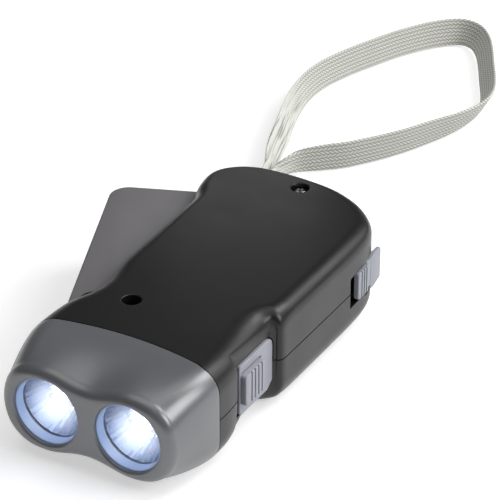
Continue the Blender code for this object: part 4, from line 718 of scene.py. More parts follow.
@dataclass(frozen=True)
class BraidedCord(Finish):
    """Flat polyester braid: pale stitches that slant by turns in rows, with painted shade, grey, between
    them.
    """

    painted_gap_shade: str = "#5f6159"
    painted_half_shade: str = "#bab9b2"
    row: float = 1.08
    pitch: float = 1.25
    slant: float = 1.1

    def height(self, along: np.ndarray, across: np.ndarray) -> np.ndarray:
        """Gives how far the stitches stand up, from 0 to 1, at places in millimetres.

        Args:
            along: how far along the strap.
            across: how far across it.

        Returns:
            The heights.
        """
        row = across / self.row
        share = row - np.floor(row)
        side = np.mod(np.floor(row), 2)
        phase = along / self.pitch + (2 * side - 1) * (share - 0.5) * self.slant + side / 2
        return np.abs(np.sin(math.pi * phase)) ** 0.6 * np.maximum(np.sin(math.pi * share), 0) ** 0.3

    def marks(self, tree: Tree) -> Feeds:
        """Draws the same stitches in bump and in colour, darker between them as painted shade, and lengthwise
        folds where the strap is gathered, darker in their low lines as painted shade.

        Args:
            tree: the material's node tree.

        Returns:
            The shader's inputs, by name.
        """
        weave = add_node(tree, "UVMap", {"uv_map": "weave"})
        parts = add_node(tree, "SeparateXYZ", None, {0: weave.outputs[0]})
        found: dict[str | float, Any] = {"along": parts.outputs[0], "across": parts.outputs[1]}
        for name, operation, *terms in (
                ("row", "DIVIDE", "across", self.row), ("whole", "FLOOR", "row"),
                ("share", "SUBTRACT", "row", "whole"), ("side", "FLOORED_MODULO", "whole", 2.0),
                ("way", "MULTIPLY_ADD", "side", 2 * self.slant, -self.slant),
                ("middle", "SUBTRACT", "share", 0.5), ("lean", "MULTIPLY", "way", "middle"),
                ("step", "MULTIPLY_ADD", "side", 0.5, "lean"),
                ("phase", "MULTIPLY_ADD", "along", 1 / self.pitch, "step"),
                ("angle", "MULTIPLY", "phase", math.pi), ("sine", "SINE", "angle"),
                ("stitch", "ABSOLUTE", "sine"), ("dome", "POWER", "stitch", 0.6),
                ("arch", "MULTIPLY", "share", math.pi), ("crown", "SINE", "arch"),
                ("flat", "POWER", "crown", 0.35), ("braid", "MULTIPLY", "dome", "flat")):
            feeds = {i: found.get(term, term) for i, term in enumerate(terms)}
            found[name] = add_node(tree, "Math", {"operation": operation}, feeds).outputs[0]
        thin = add_node(tree, "VectorMath", {"operation": "MULTIPLY"},
                        {0: weave.outputs[0], 1: (0.06, 1.5, 1.0)})
        streak = add_node(tree, "TexNoise", None, {"Vector": thin.outputs[0], "Scale": 1.0, "Detail": 2.0})
        fold = add_node(tree, "MapRange", None, {"Value": streak.outputs[0], "From Min": 0.36,
                                                 "From Max": 0.52, "To Min": 0.25, "To Max": 1.0})
        spread = add_node(tree, "Attribute", {"attribute_name": "braid"})
        height = add_node(tree, "Mix", {"data_type": "FLOAT"},
                          {0: spread.outputs["Fac"], 2: fold.outputs[0], 3: found["braid"]})
        # The colour follows the height: low places between stitches and in folds get painted shade.
        tint = add_node(tree, "ValToRGB", {"stops": ((0.0, self.painted_gap_shade), (0.5, self.painted_half_shade),
                                                     (0.85, self.colour))}, {0: height.outputs[0]})
        bump = add_node(tree, "Bump", None, {"Strength": 0.6, "Distance": 0.12 * MM,
                                             "Height": height.outputs[0]})
        return {"Sheen Weight": 0.25, "Sheen Roughness": 0.5, "Base Color": tint.outputs[0],
                "Normal": bump.outputs[0]}


# Each value starts from the material's usual one and is matched to the object.
BLACK_ABS = MouldedPlastic("black_moulded_abs", "#121213", 0.36, ior=1.5)
GREY_ABS = MouldedPlastic("grey_painted_abs", "#636469", 0.32, ior=2.05, grain=0.22, depth=0.006, mottle=0.03)
LEVER_ABS = MouldedPlastic("warm_grey_moulded_abs", "#747275", 0.5, ior=1.53, depth=0.01)
SLIDER_ABS = MouldedPlastic("pale_grey_moulded_abs", "#a4a6b0", 0.45, ior=1.53, grain=0.25, depth=0.005)
INNER_ABS = MouldedPlastic("black_moulded_inner_abs", "#232325", 0.5, ior=1.53)
NYLON = MouldedPlastic("white_moulded_nylon", "#e2e0d6", 0.5, ior=1.53, mottle=0.02)
# The window's glow is painted light for the lamp's light scattered in it.
WINDOW = ClearPlastic("clear_polycarbonate_painted_glow", "#e8eefa", 0.06, ior=1.58, glow=3.0, shine="#e8f0ff",
                      fades=(1.0, 8.5), broken=0.0)
# The reflector's glow is painted light for the lamp's light on the mirror.
REFLECTOR = ChromedPlastic("aluminised_abs_painted_glow", "#ccd4e2", 0.12, metallic=1.0)
LAMP_EPOXY = LampAndPaintedGlow("lit_clear_epoxy", "#f4f7ff", 0.2, glow=7.0, streak=0.1)
# The bore wall's glow is painted light for the lamp's light on it.
PAINTED_BORE_GLOW = LampAndPaintedGlow("painted_glow_pale_plastic", "#8f9cb4", 0.3, glow=0.42, shine="#8aa3cc")
STEEL = WorkedMetal("turned_nickel_plated_steel", "#b9bbbf", 0.3, metallic=1.0)
SPRING_STEEL = WorkedMetal("drawn_spring_steel", "#a4a6aa", 0.32, metallic=1.0)
SHEET_STEEL = WorkedMetal("stacked_silicon_steel_sheet", "#8e9094", 0.42, metallic=1.0, line=0.35,
                          stretch=(0.05, 0.05, 1.0))
BRASS = WorkedMetal("turned_brass", "#b99a5b", 0.28, metallic=1.0)
FERRITE = MouldedPlastic("sintered_ferrite", "#47494d", 0.55, ior=1.8, grain=0.3, depth=0.02)
COPPER = WoundWire("enamelled_copper_wire", "#b9683a", 0.3, metallic=0.9)
BOARD = CircuitBoard("green_masked_glass_epoxy", "#2f5f3c", 0.4)
RED_PVC = MouldedPlastic("red_extruded_pvc", "#9c2a2a", 0.5, mottle=0.03)
BLACK_PVC = MouldedPlastic("black_extruded_pvc", "#202022", 0.5, mottle=0.03)
BRAID = BraidedCord("braided_polyester", "#e4e5de", 0.8)


# ---------------------------------------------------------------------------------------------
# Pieces
# ---------------------------------------------------------------------------------------------

OUTLINE_SHARES: tuple[Pair, ...] = (
    (0.994, 0.0742), (0.994, 0.1573), (1.0, 0.2888), (0.997, 0.4262), (1.0, 0.5567), (1.0, 0.6672),
    (0.998, 0.7604), (0.978, 0.8352), (0.921, 0.8822), (0.796, 0.9181), (0.619, 0.9506), (0.363, 0.9798),
    (0.103, 0.994), (-0.199, 1.0), (-0.507, 0.999), (-0.661, 0.9918), (-0.813, 0.9754),
    (-0.958, 0.9446), (-1.018, 0.9132), (-1.024, 0.884), (-0.994, 0.8425), (-0.942, 0.814),
    (-0.908, 0.7867), (-0.892, 0.6742), (-0.876, 0.5477), (-0.864, 0.4282), (-0.86, 0.3635),
    (-0.888, 0.3236), (-0.946, 0.2918), (-0.986, 0.2569), (-1.004, 0.2091), (-1.008, 0.1573),
    (-1.008, 0.0742))


@dataclass(frozen=True)
class CaseScrew:
    """A case screw: its word, its place, its recess's depth, how deep its top lies, its head's radius."""

    word: str
    place: Pair
    recess: float
    sink: float
    radius: float


CASE_SCREWS = (CaseScrew("front", (-8.59, 34.16), 8.0, 8.0, 2.0),
               CaseScrew("rear", (-0.4, 101.07), 2.4, 0.75, 1.55))


@dataclass
class HeadJoint:
    """The section that the head and the body share, and the bowed seam between them."""

    middle: float = -0.15
    half_width: float = 24.95
    height: float = BODY_HEIGHT
    edge_above: float = 6.5
    edge_below: float = 7.5
    seam_side: float = 17.4
    seam_bow: float = 3.0
    seam_middle: float = -1.5
    seam_half: float = 22.0
    gap: float = 0.3
    spare: float = 4.0
    side: float = 29.0
    behind: float = 28.0

    def section(self, depth: float, steps: int = 10) -> np.ndarray:
        """Gives the rounded section, drawn in all round by a depth.

        Args:
            depth: how far it is drawn in.
            steps: how many chords make one rounding.

        Returns:
            The section's outline.
        """
        low, high = depth, self.height - depth
        left, right = self.middle - self.half_width + depth, self.middle + self.half_width - depth
        below, above = self.edge_below - depth, self.edge_above - depth
        return fillet(((right, low), (right, high), (left, high), (left, low)), (below, above, above, below),
                      steps)

    def tool(self, in_front: bool) -> Blank:
        """Makes a block that ends at the seam, less half the gap.

        Args:
            in_front: whether the block lies before the seam or behind it.

        Returns:
            The block.
        """
        across = np.linspace(-self.side, self.side, 59)
        bow = 1 - np.minimum(1, np.abs(across - self.seam_middle) / self.seam_half) ** 2
        line = self.seam_side + self.seam_bow * bow + (self.gap / 2 if in_front else -self.gap / 2)
        end = -self.spare if in_front else self.behind
        outline = np.concatenate((np.stack((across, line), axis=1), ((self.side, end), (-self.side, end))))
        return plate("seam_tool", outline, -self.spare, self.height + self.spare)


@dataclass
class BodyShells:
    """The two black shells: a rounded body with a waist and a scoop that hold the front slider."""

    joint: HeadJoint
    half_width: float = 24.9
    length: float = 107.85
    height: float = BODY_HEIGHT
    wall: float = 2.0
    top_edges: Pair = (6.5, 4.2)
    under_edges: Pair = (7.5, 6.2)
    edge_change: Pair = (40.0, 52.0)
    rear_change: Pair = (88.0, 103.0)
    rear_less: float = 1.2
    waist: float = 2.2
    waist_under: float = 1.8
    waist_in: Pair = (20.0, 40.0)
    waist_out: Pair = (46.6, 43.8)
    waist_side: Pair = (4.0, 14.0)
    waist_low: Pair = (15.0, 5.0)
    scoop_floor: float = 22.35
    scoop_ends: Pair = (26.8, 45.8)
    scoop_corner: float = 0.5
    softness: float = 0.9
    mesh_size: float = 0.6
    plan_step: float = 0.25
    cell: float = 0.3
    hollow_front: float = 23.5
    hollow_side: Pair = (18.6, 47.0)
    hollow_after: float = 49.0
    # How far in from the shared section, and from where to where.
    spigot: tuple[float, Pair] = (2.1, (12.8, 23.8))
    spigot_way: tuple[float, Pair] = (3.7, (8.8, 24.2))
    pocket: tuple[Pair, ...] = ((26.8, 5.9), (45.35, 5.9), (45.35, 20.1), (26.8, 20.1))
    pocket_corners: tuple[float, ...] = (0.3, 1.8, 2.2, 0.5)
    pocket_floor: float = 20.9
    lock_track: Cuboid = ((21.2, 79.0, 6.6), (23.0, 93.3, 19.4))
    lock_slot: Cuboid = ((22.6, 80.4, 8.9), (30.0, 106.0, 17.4))
    lock_tail_slot: Cuboid = ((23.1, 89.2, 7.9), (30.0, 106.0, 18.1))
    lock_stem_way: Cuboid = ((16.8, 87.7, 11.7), (30.0, 92.9, 16.3))
    lever_mouth: Cuboid = ((-30.0, 23.4, 4.6), (-19.0, 97.2, 21.4))
    switch_stem_way: Cuboid = ((14.6, 30.45, 11.2), (21.4, 36.55, 14.8))
    strap_slot: Cuboid = ((-21.6, 100.7, 8.4), (-16.4, 109.7, 17.6))
    strap_slot_turn: tuple[float, Pair] = (30.0, (-19.0, 105.2))
    # How high in the wall the bosses start.
    root: float = 1.0
    # The radii of a case screw's boss, recess and shank, and how far its seat lies under its recess.
    screw_radii: tuple[float, ...] = (3.4, 2.3, 1.5)
    screw_head: float = 2.0
    rim: float = 0.3
    # Each pin's place, with the radii of its boss and its hole: the lever's and the strap's.
    pins: tuple[tuple[Pair, float, float], ...] = ((LEVER_PIVOT, 3.6, 1.65), (STRAP_PIN, 2.4, 1.35))
    pin_bosses: Pair = (4.6, 21.4)
    pin_ends: Pair = (2.3, 23.7)
    # A radius and the levels: the threads of the case and frame screws, and the frame screws' boss.
    thread: tuple[float, ...] = (1.35, 5.7, 13.5)
    frame_thread: tuple[float, ...] = (1.15, 2.9, 7.0)
    frame_boss: Pair = (2.3, 6.6)

    def plan(self, steps: int) -> np.ndarray:
        """Gives the side wall's line from the slider side round the rear, with its bends evened out.

        Args:
            steps: how many of the even steps lie between two points.

        Returns:
            The line.
        """
        spots = np.array(OUTLINE_SHARES) * (self.half_width, self.length)
        line = smooth_line(spots, np.linspace(0, 1, (len(spots) - 1) * 24 + 1))
        line[:, 0] -= self.waist * self.waist_share(line[:, 0], line[:, 1])
        line = evened(line, self.plan_step)[1]
        weights = np.exp(-np.linspace(-2.4, 2.4, 21) ** 2 / 2)
        padded = np.pad(line, ((10, 10), (0, 0)), "edge")
        return np.stack([np.convolve(column, weights / weights.sum(), "valid") for column in padded.T],
                        axis=1)[::steps]

    def waist_share(self, x: np.ndarray, back: np.ndarray) -> np.ndarray:
        """Gives how deep the waist is at places in the plan, from 0 to 1."""
        return ease(back, *self.waist_in) * ease(back, *self.waist_out) * ease(x, *self.waist_side)

    def edge(self, back: np.ndarray, above: np.ndarray) -> np.ndarray:
        """Gives the rounding of the top or bottom edge at places along the body.

        Args:
            back: the places along the body.
            above: whether each is on the top edge.

        Returns:
            The radii.
        """
        front, rear = (np.where(above, *pair) for pair in zip(self.top_edges, self.under_edges))
        return (front + (rear - front) * ease(back, *self.edge_change)
                - np.where(above, self.rear_less, 0.0) * ease(back, *self.rear_change))

    def loft(self, line: np.ndarray, thinner: float, depth: float, steps: int = 8) -> Blank:
        """Makes the rounded body over a plan line.

        Args:
            line: the plan line.
            thinner: how much less its edges are rounded.
            depth: how far its top and bottom are drawn in.
            steps: how many chords make one rounding.

        Returns:
            The body.
        """
        step = np.gradient(line, axis=0)
        step /= np.linalg.norm(step, axis=1)[:, None]
        outward = np.stack((step[:, 1], -step[:, 0]), axis=1)
        rings = []
        for above in (False, True):
            radius = self.edge(line[:, 1], np.array(above)) - thinner
            for k in range(steps + 1):
                turn = math.pi / 2 * (k if above else steps - k) / steps
                spots = line - outward * (radius * (1 - math.cos(turn)))[:, None]
                rise = depth + radius * (1 - math.sin(turn))
                rings.append(np.column_stack((spots, self.height - rise if above else rise)))
        return Blank("body_blank", *skin(rings))

    def measure_plan(self) -> None:
        """Tabulates the signed distance to the side wall over the plan."""
        line = self.plan(1)
        tree = kdtree.KDTree(len(line))
        for i, spot in enumerate(line):
            tree.insert((*spot, 0.0), i)
        tree.balance()
        self.grid = (np.arange(-30.0, 30.2, self.cell), np.arange(2.0, 113.0, self.cell))
        self.table = np.empty([len(places) for places in self.grid])
        for a, x in enumerate(self.grid[0]):
            for b, back in enumerate(self.grid[1]):
                i = tree.find((x, back, 0.0))[1]
                side = line[min(i + 1, len(line) - 1)] - line[max(i - 1, 0)]
                away = np.array((x, back)) - line[i]
                self.table[a, b] = -(side[0] * away[1] - side[1] * away[0]) / math.hypot(*side)
        self.table = np.maximum(self.table, line[0][1] - self.grid[1][None, :])

    def outside(self, spots: np.ndarray) -> np.ndarray:
        """Gives how far places lie outside the finished surface, in millimetres; inside is negative.

        Args:
            spots: the places in the drawing.

        Returns:
            The distances.
        """
        x, back, z = spots.T
        a, b = (np.clip((place - places[0]) / self.cell, 0, len(places) - 1.001)
                for place, places in zip((x, back), self.grid))
        i, j = a.astype(int), b.astype(int)
        u, v = a - i, b - j
        plan = ((self.table[i, j] * (1 - u) + self.table[i + 1, j] * u) * (1 - v)
                + (self.table[i, j + 1] * (1 - u) + self.table[i + 1, j + 1] * u) * v)
        plan = plan + self.waist_under * self.waist_share(x, back) * ease(z, *self.waist_low)
        radius = self.edge(back, z > self.height / 2)
        body = self.rounded(plan + radius, np.abs(z - self.height / 2) - (self.height / 2 - radius)) - radius
        start, end = self.scoop_ends
        along = np.abs(back - (start + end) / 2) - (end - start) / 2 + self.scoop_corner
        scoop = self.rounded(self.scoop_floor + self.scoop_corner - x, along) - self.scoop_corner
        overlap = np.maximum(self.softness - np.abs(body + scoop), 0)
        return np.maximum(body, -scoop) + overlap ** 2 / (4 * self.softness)

    @staticmethod
    def rounded(one: np.ndarray, other: np.ndarray) -> np.ndarray:
        """Joins two distances into that to the rounded corner between their faces."""
        return (np.minimum(np.maximum(one, other), 0)
                + np.hypot(np.maximum(one, 0), np.maximum(other, 0)))

    def settle(self, blank: Blank, rounds: int = 7, probe: float = 0.05, most: float = 0.7) -> None:
        """Moves a fine mesh's points onto the finished surface.

        Args:
            blank: the body with the fine mesh.
            rounds: how many times the points move.
            probe: how far off the slope is felt for.
            most: the most that a point moves in one round.
        """
        mesh = blank.object.data
        flat = np.empty(len(mesh.vertices) * 3)
        mesh.vertices.foreach_get("co", flat)
        spots = to_drawing(flat.reshape(-1, 3))
        for _ in range(rounds):
            slope = np.stack([(self.outside(spots + step) - self.outside(spots - step)) / (2 * probe)
                              for step in np.eye(3) * probe], axis=1)
            steep = np.maximum((slope ** 2).sum(axis=1), 0.2)
            spots -= slope * (np.clip(self.outside(spots), -most, most) / steep)[:, None]
        mesh.vertices.foreach_set("co", to_row(spots).ravel())
        mesh.update()

    def hollow_line(self) -> np.ndarray:
        """Gives the hollow's plan line, drawn in beside the scoop.

        Returns:
            The line, closed at the front.
        """
        line = inset(self.plan(6), self.wall)
        kept = line[(line[:, 1] > self.hollow_after) | ((line[:, 0] < 0) & (line[:, 1] > self.hollow_front))]
        side, end = self.hollow_side
        return np.concatenate((((side, self.hollow_front), (side, end)), kept,
                               ((kept[-1][0], self.hollow_front),)))

    def rounded_way(self, centre: Pair, radius: float, low: float) -> Blank:
        """Makes a round recess from the top face with a softened rim.

        Args:
            centre: its place in the plan.
            radius: its radius.
            low: the level of its floor.

        Returns:
            The tool that cuts it.
        """
        rim = self.rim
        top = self.height - float(self.outside(np.array([(*centre, self.height)]))[0])
        profile = [(radius, low), (radius, top - rim)]
        profile += [(radius + rim * (1 - math.cos(turn)), top - rim + rim * math.sin(turn))
                    for turn in np.linspace(0.3, math.pi / 2, 4)]
        return turned("tool", profile + [(radius + rim, self.height + 2)], centre, 48)

    def solid(self) -> Blank:
        """Shapes the body in one piece, hollow, with the spigot that the head sits on.

        Returns:
            The body, before its openings are cut.
        """
        self.measure_plan()
        blank = self.loft(self.plan(2), 0.0, 0.0)
        blank.change("REMESH", {"mode": "VOXEL", "voxel_size": self.mesh_size * MM})
        self.settle(blank)
        blank.cut(self.joint.tool(True), self.loft(self.hollow_line(), self.wall, self.wall))
        for name, (depth, ends), work in (("spigot", self.spigot, blank.join),
                                          ("spigot_way", self.spigot_way, blank.cut)):
            work(plate(name, self.joint.section(depth), *ends, facing=Facing.FRONT))
        return blank

    def fit_screws(self, blank: Blank) -> None:
        """Adds the bosses of the screws and pins to the body, and bores them.

        Args:
            blank: the body.
        """
        top = self.height - self.root
        boss, recess, shank = self.screw_radii
        hole, low, high = self.thread
        for screw in CASE_SCREWS:
            seat = self.height - screw.recess - self.screw_head
            blank.join(post(screw.place, boss, self.root, top))
            blank.cut(self.rounded_way(screw.place, recess, seat),
                      post(screw.place, shank, self.height / 2, seat + 0.5),
                      post(screw.place, hole, low, high))
        for centre, radius, bore in self.pins:
            blank.join(post(centre, radius, self.root, self.pin_bosses[0]),
                       post(centre, radius, self.pin_bosses[1], top))
            blank.cut(post(centre, bore, *self.pin_ends))
        for number in (1, 2, 3):
            middle = tuple(to_drawing(np.mean(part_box(f"frame_screw_{number}"), axis=0))[:2])
            blank.join(post(middle, self.frame_boss[0], self.root, self.frame_boss[1]))
            blank.cut(post(middle, *self.frame_thread))

    def build(self) -> None:
        """Shapes the body, works its openings, and parts it into the two shells."""
        blank = self.solid()
        pocket = fillet(self.pocket, self.pocket_corners)
        blank.cut(plate("pocket", pocket, self.pocket_floor, 30.0, facing=Facing.SIDE))
        blank.join(block(*self.lock_track))
        self.fit_screws(blank)
        blank.cut(*(block(*way) for way in (self.lock_slot, self.lock_tail_slot, self.lock_stem_way,
                                            self.lever_mouth, self.switch_stem_way)))
        blank.cut(block(*self.strap_slot).turn(*self.strap_slot_turn))
        for half in Half:
            name, node, low, high = half.value
            part = Blank(name, np.zeros((0, 3)), [])
            part.object.data = blank.object.data.copy()
            part.cut(block((-32, -2, low), (32, 112, high)))
            part.deliver("housing", BLACK_ABS, "black_shell", node)
        bpy.data.objects.remove(blank.object)


@dataclass
class Head:
    """The satin grey head: two rounded lobes that grow out of the body's section."""

    joint: HeadJoint
    lobe_radius: float = 10.7
    lobe_half_width: float = 11.6
    valley: float = 2.4
    nose: float = 2.6
    taper: float = 1.6
    drawn_to: float = 24.0
    hollow: Pair = (11.5, 28.0)
    opening: float = 8.5
    rim: float = 0.8
    pocket: float = 9.6
    pocket_ends: Pair = (4.0, 15.5)
    wall: float = 1.8

    def front_outline(self) -> np.ndarray:
        """Gives the two-lobed outline of the front.

        Returns:
            The outline.
        """
        offset, height = LENS_AXIS
        turn = np.linspace(-math.pi / 2, math.pi / 2, 60)
        lobe = np.stack((offset + self.lobe_half_width * np.cos(turn),
                         height + self.lobe_radius * np.sin(turn)), axis=1)
        x = np.linspace(offset, -offset, 60)[1:-1]
        dip = self.valley * (0.5 + 0.5 * np.cos(math.pi * x / offset))
        half = np.concatenate((lobe, np.stack((x, height + self.lobe_radius - dip), axis=1)))
        return np.concatenate((half, np.stack((-half[:, 0], 2 * height - half[:, 1]), axis=1)))

    def reach(self, outline: np.ndarray, turns: np.ndarray) -> np.ndarray:
        """Gives how far an outline lies from the head's middle in each direction.

        Args:
            outline: the outline.
            turns: the directions, in radians.

        Returns:
            The distances.
        """
        start = outline - (0.0, LENS_AXIS[1])
        side = np.roll(start, -1, axis=0) - start
        found = np.zeros(len(turns))
        for i, turn in enumerate(turns):
            way = (math.cos(turn), math.sin(turn))
            across = way[0] * side[:, 1] - way[1] * side[:, 0]
            across = np.where(np.abs(across) < 1e-12, 1e-12, across)
            far = (start[:, 0] * side[:, 1] - start[:, 1] * side[:, 0]) / across
            share = (start[:, 0] * way[1] - start[:, 1] * way[0]) / across
            found[i] = far[(far > 0) & (share >= -1e-6) & (share <= 1 + 1e-6)].max()
        return found

    def build(self) -> None:
        """Lofts the head, hollows it and bores the two openings with softened rims."""
        turns = np.arange(320) * math.tau / 320
        body, front = (self.reach(o, turns) for o in (self.joint.section(0.0), self.front_outline()))
        rings = []
        for back in np.linspace(self.drawn_to, self.nose, 36):
            share = max(0.0, 1 - back / self.joint.seam_side) ** self.taper
            far = (1 - share) * body + share * front
            rings.append(ring((0.0, LENS_AXIS[1]), far, turns, back, Facing.FRONT))
        last = rings[-1][:, ::2]
        for turn in np.linspace(0, math.pi / 2, 11)[1:]:
            rings.append(raised(inset(last, self.nose * (1 - math.cos(turn))),
                                self.nose * (1 - math.sin(turn)), Facing.FRONT))
        head = Blank("head_shell", *skin(rings))
        hollow = plate("hollow", self.joint.section(self.wall), *self.hollow, facing=Facing.FRONT)
        head.cut(self.joint.tool(False), hollow)
        front, back = self.pocket_ends
        bore = [(self.opening + self.rim, -2.0)]
        bore += [(self.opening + self.rim * (1 - math.sin(turn)), self.rim * (1 - math.cos(turn)))
                 for turn in np.linspace(0, math.pi / 2, 6)]
        bore += [(self.opening, front), (self.pocket, front), (self.pocket, back)]
        for lens in Lens:
            head.cut(turned("bore", bore, (lens.value * LENS_AXIS[0], LENS_AXIS[1]), 96, Facing.FRONT))
        head.deliver("housing", GREY_ABS, "grey_head", "head_bezel", crease=28.0)


@dataclass
class Lamps:
    """Behind each opening: a sheet with painted glow for the lit bore wall, the clear window, the faceted cup
    and the lamp.
    """

    painted_glow_sheet: tuple[Pair, ...] = ((8.2, 0.95), (8.47, 0.95), (8.47, 3.6), (8.2, 3.6))
    window: tuple[Pair, ...] = ((8.25, 3.65), (8.4, 3.8), (8.4, 4.3), (8.25, 4.45))
    cup_front: float = 4.6
    cup_depth: float = 9.0
    cup_mouth: float = 8.4
    cup_throat: float = 2.9
    cup_rim: float = 9.3
    skin: float = 0.7
    facets: int = 18
    rows: int = 5
    dome: float = 2.5
    dome_front: float = 9.3
    collar: tuple[Pair, ...] = ((2.5, 14.05), (2.9, 14.05), (2.9, 14.9))

    def build(self) -> None:
        """Builds both lamps."""
        dome = [(self.dome * math.sin(turn), self.dome_front + self.dome * (1 - math.cos(turn)))
                for turn in np.linspace(0.08, math.pi / 2, 10)]
        for lens in Lens:
            word = lens.name.lower()
            centre = (lens.value * LENS_AXIS[0], LENS_AXIS[1])
            # This sheet carries painted glow where the lamp lights the bore wall.
            turned(f"bore_painted_glow_sheet_{word}", self.painted_glow_sheet, centre, 96, Facing.FRONT, bored=True).deliver(
                "housing", PAINTED_BORE_GLOW, "clear_window")
            turned(f"window_{word}", self.window, centre, 96, Facing.FRONT).deliver(
                "housing", WINDOW, "clear_window", f"lens_{word}")
            self.cup(f"reflector_cup_{word}", centre).deliver(
                "housing", REFLECTOR, "bright_reflector", f"reflector_{word}", crease=2.0)
            turned(f"lit_lamp_{word}", [*dome, *self.collar], centre, 48, Facing.FRONT).deliver(
                "housing", LAMP_EPOXY, "white_lamp", f"lamp_{word}")

    def cup(self, name: str, centre: Pair) -> Blank:
        """Makes a turned cup whose inside is ground to flat facets, each row half a facet on.

        Args:
            name: the piece's name.
            centre: where its axis stands.

        Returns:
            The cup.
        """
        sides = self.facets * 4
        part = math.tau / self.facets
        turns = np.arange(sides) * math.tau / sides
        inner, outer = [], []
        for row, share in enumerate(np.arange(self.rows + 1) / self.rows):
            radius = self.cup_throat + (self.cup_mouth - self.cup_throat) * math.sqrt(1 - share)
            back = self.cup_front + self.cup_depth * share
            near = np.mod(turns + (row % 2) * part / 2, part) - part / 2
            inner.append(ring(centre, radius * math.cos(part / 2) / np.cos(near), turns, back, Facing.FRONT))
            outer.append((radius + self.skin, max(back, self.cup_front + self.skin)))
        outer = outer[::-1] + [(self.cup_rim, self.cup_front + self.skin), (self.cup_rim, self.cup_front)]
        rings = inner + [ring(centre, radius, turns, back, Facing.FRONT) for radius, back in outer]
        return Blank(name, *skin(rings, closed=True))


@dataclass
class SqueezeLever:
    """The hollow grey lever, drawn closed about its pivot and turned open."""

    pivot: Pair = LEVER_PIVOT
    open_deg: float = 21.5
    reach: float = 62.2
    out: float = 7.6
    eye: float = 4.6
    width: float = 26.5
    corner: float = 5.0
    low: float = 4.9
    high: float = 21.1
    plate: float = 1.5
    wall: float = 1.8
    edge: float = 0.7
    inner_side: tuple[Pair, ...] = ((8.0, 20.0), (3.6, 8.0))
    hollow_side: float = 8.4
    hollow_corner: float = 2.5
    beyond: float = 66.0
    catch: tuple[Pair, ...] = ((13.0, 48.5), (24.2, 48.5), (24.2, 53.0), (22.7, 53.0), (22.7, 50.0),
                               (13.0, 50.0))
    catch_play: float = 0.15
    foot: Pair = (27.17, 93.0)
    foot_radii: Pair = (2.3, 1.15)
    foot_hole_top: float = 13.0
    pin_hole: float = 1.65

    def outline(self) -> np.ndarray:
        """Gives the closed lever's plan about its pivot.

        Returns:
            The outline, anticlockwise.
        """
        spots = []
        for k in range(31):
            turn = math.radians(300 - 4 * k)
            far = self.out - (self.out - self.eye) * (120 - 4 * k) / 120
            spots.append((far * math.cos(turn), far * math.sin(turn)))
        for turn in np.linspace(math.pi, math.pi / 2, 13):
            spots.append((-self.out + self.corner * (1 + math.cos(turn)),
                          self.reach - self.corner * (1 - math.sin(turn))))
        spots += [(self.width - self.out, self.reach), *self.inner_side, (self.eye, 0.0)]
        return np.array(spots[::-1])

    def raise_about(self, spots: Sequence[Pair] | np.ndarray, low: float, high: float,
                    edge: float = 0.0) -> Blank:
        """Raises an outline about the pivot between two levels."""
        return plate("squeeze_lever", np.array(spots, float) + self.pivot, low, high, (edge, edge))

    def build(self) -> None:
        """Builds the lever with its hollow, catch, arm boss and eye."""
        lever = self.raise_about(self.outline(), self.low, self.high, self.edge)
        wall_x, rear, far = -self.out + self.wall, self.reach - self.wall, self.beyond
        hollow = ((wall_x, 0), (wall_x / 2, -self.eye), (wall_x / 2, -far), (far, -far), (far, far),
                  (self.hollow_side, far), (self.hollow_side, rear), (wall_x + self.hollow_corner, rear),
                  (wall_x, rear - self.hollow_corner))
        lever.cut(self.raise_about(hollow, self.low + self.plate, self.high - self.plate))
        lever.join(self.raise_about(self.catch, self.high - self.plate, self.high - self.catch_play))
        reach, turn = self.foot[0], math.radians(self.foot[1])
        foot = (self.pivot[0] + reach * math.cos(turn), self.pivot[1] + reach * math.sin(turn))
        under_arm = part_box("lever_rack")[0][2] / MM - 0.3
        lever.join(post(foot, self.foot_radii[0], self.low + self.plate / 2, under_arm))
        lever.cut(post(foot, self.foot_radii[1], self.low + self.plate, self.foot_hole_top),
                  post(self.pivot, self.pin_hole, -4, 30))
        lever.turn(self.open_deg, self.pivot)
        lever.deliver("lever", LEVER_ABS, "grey_lever", "lever_grip")


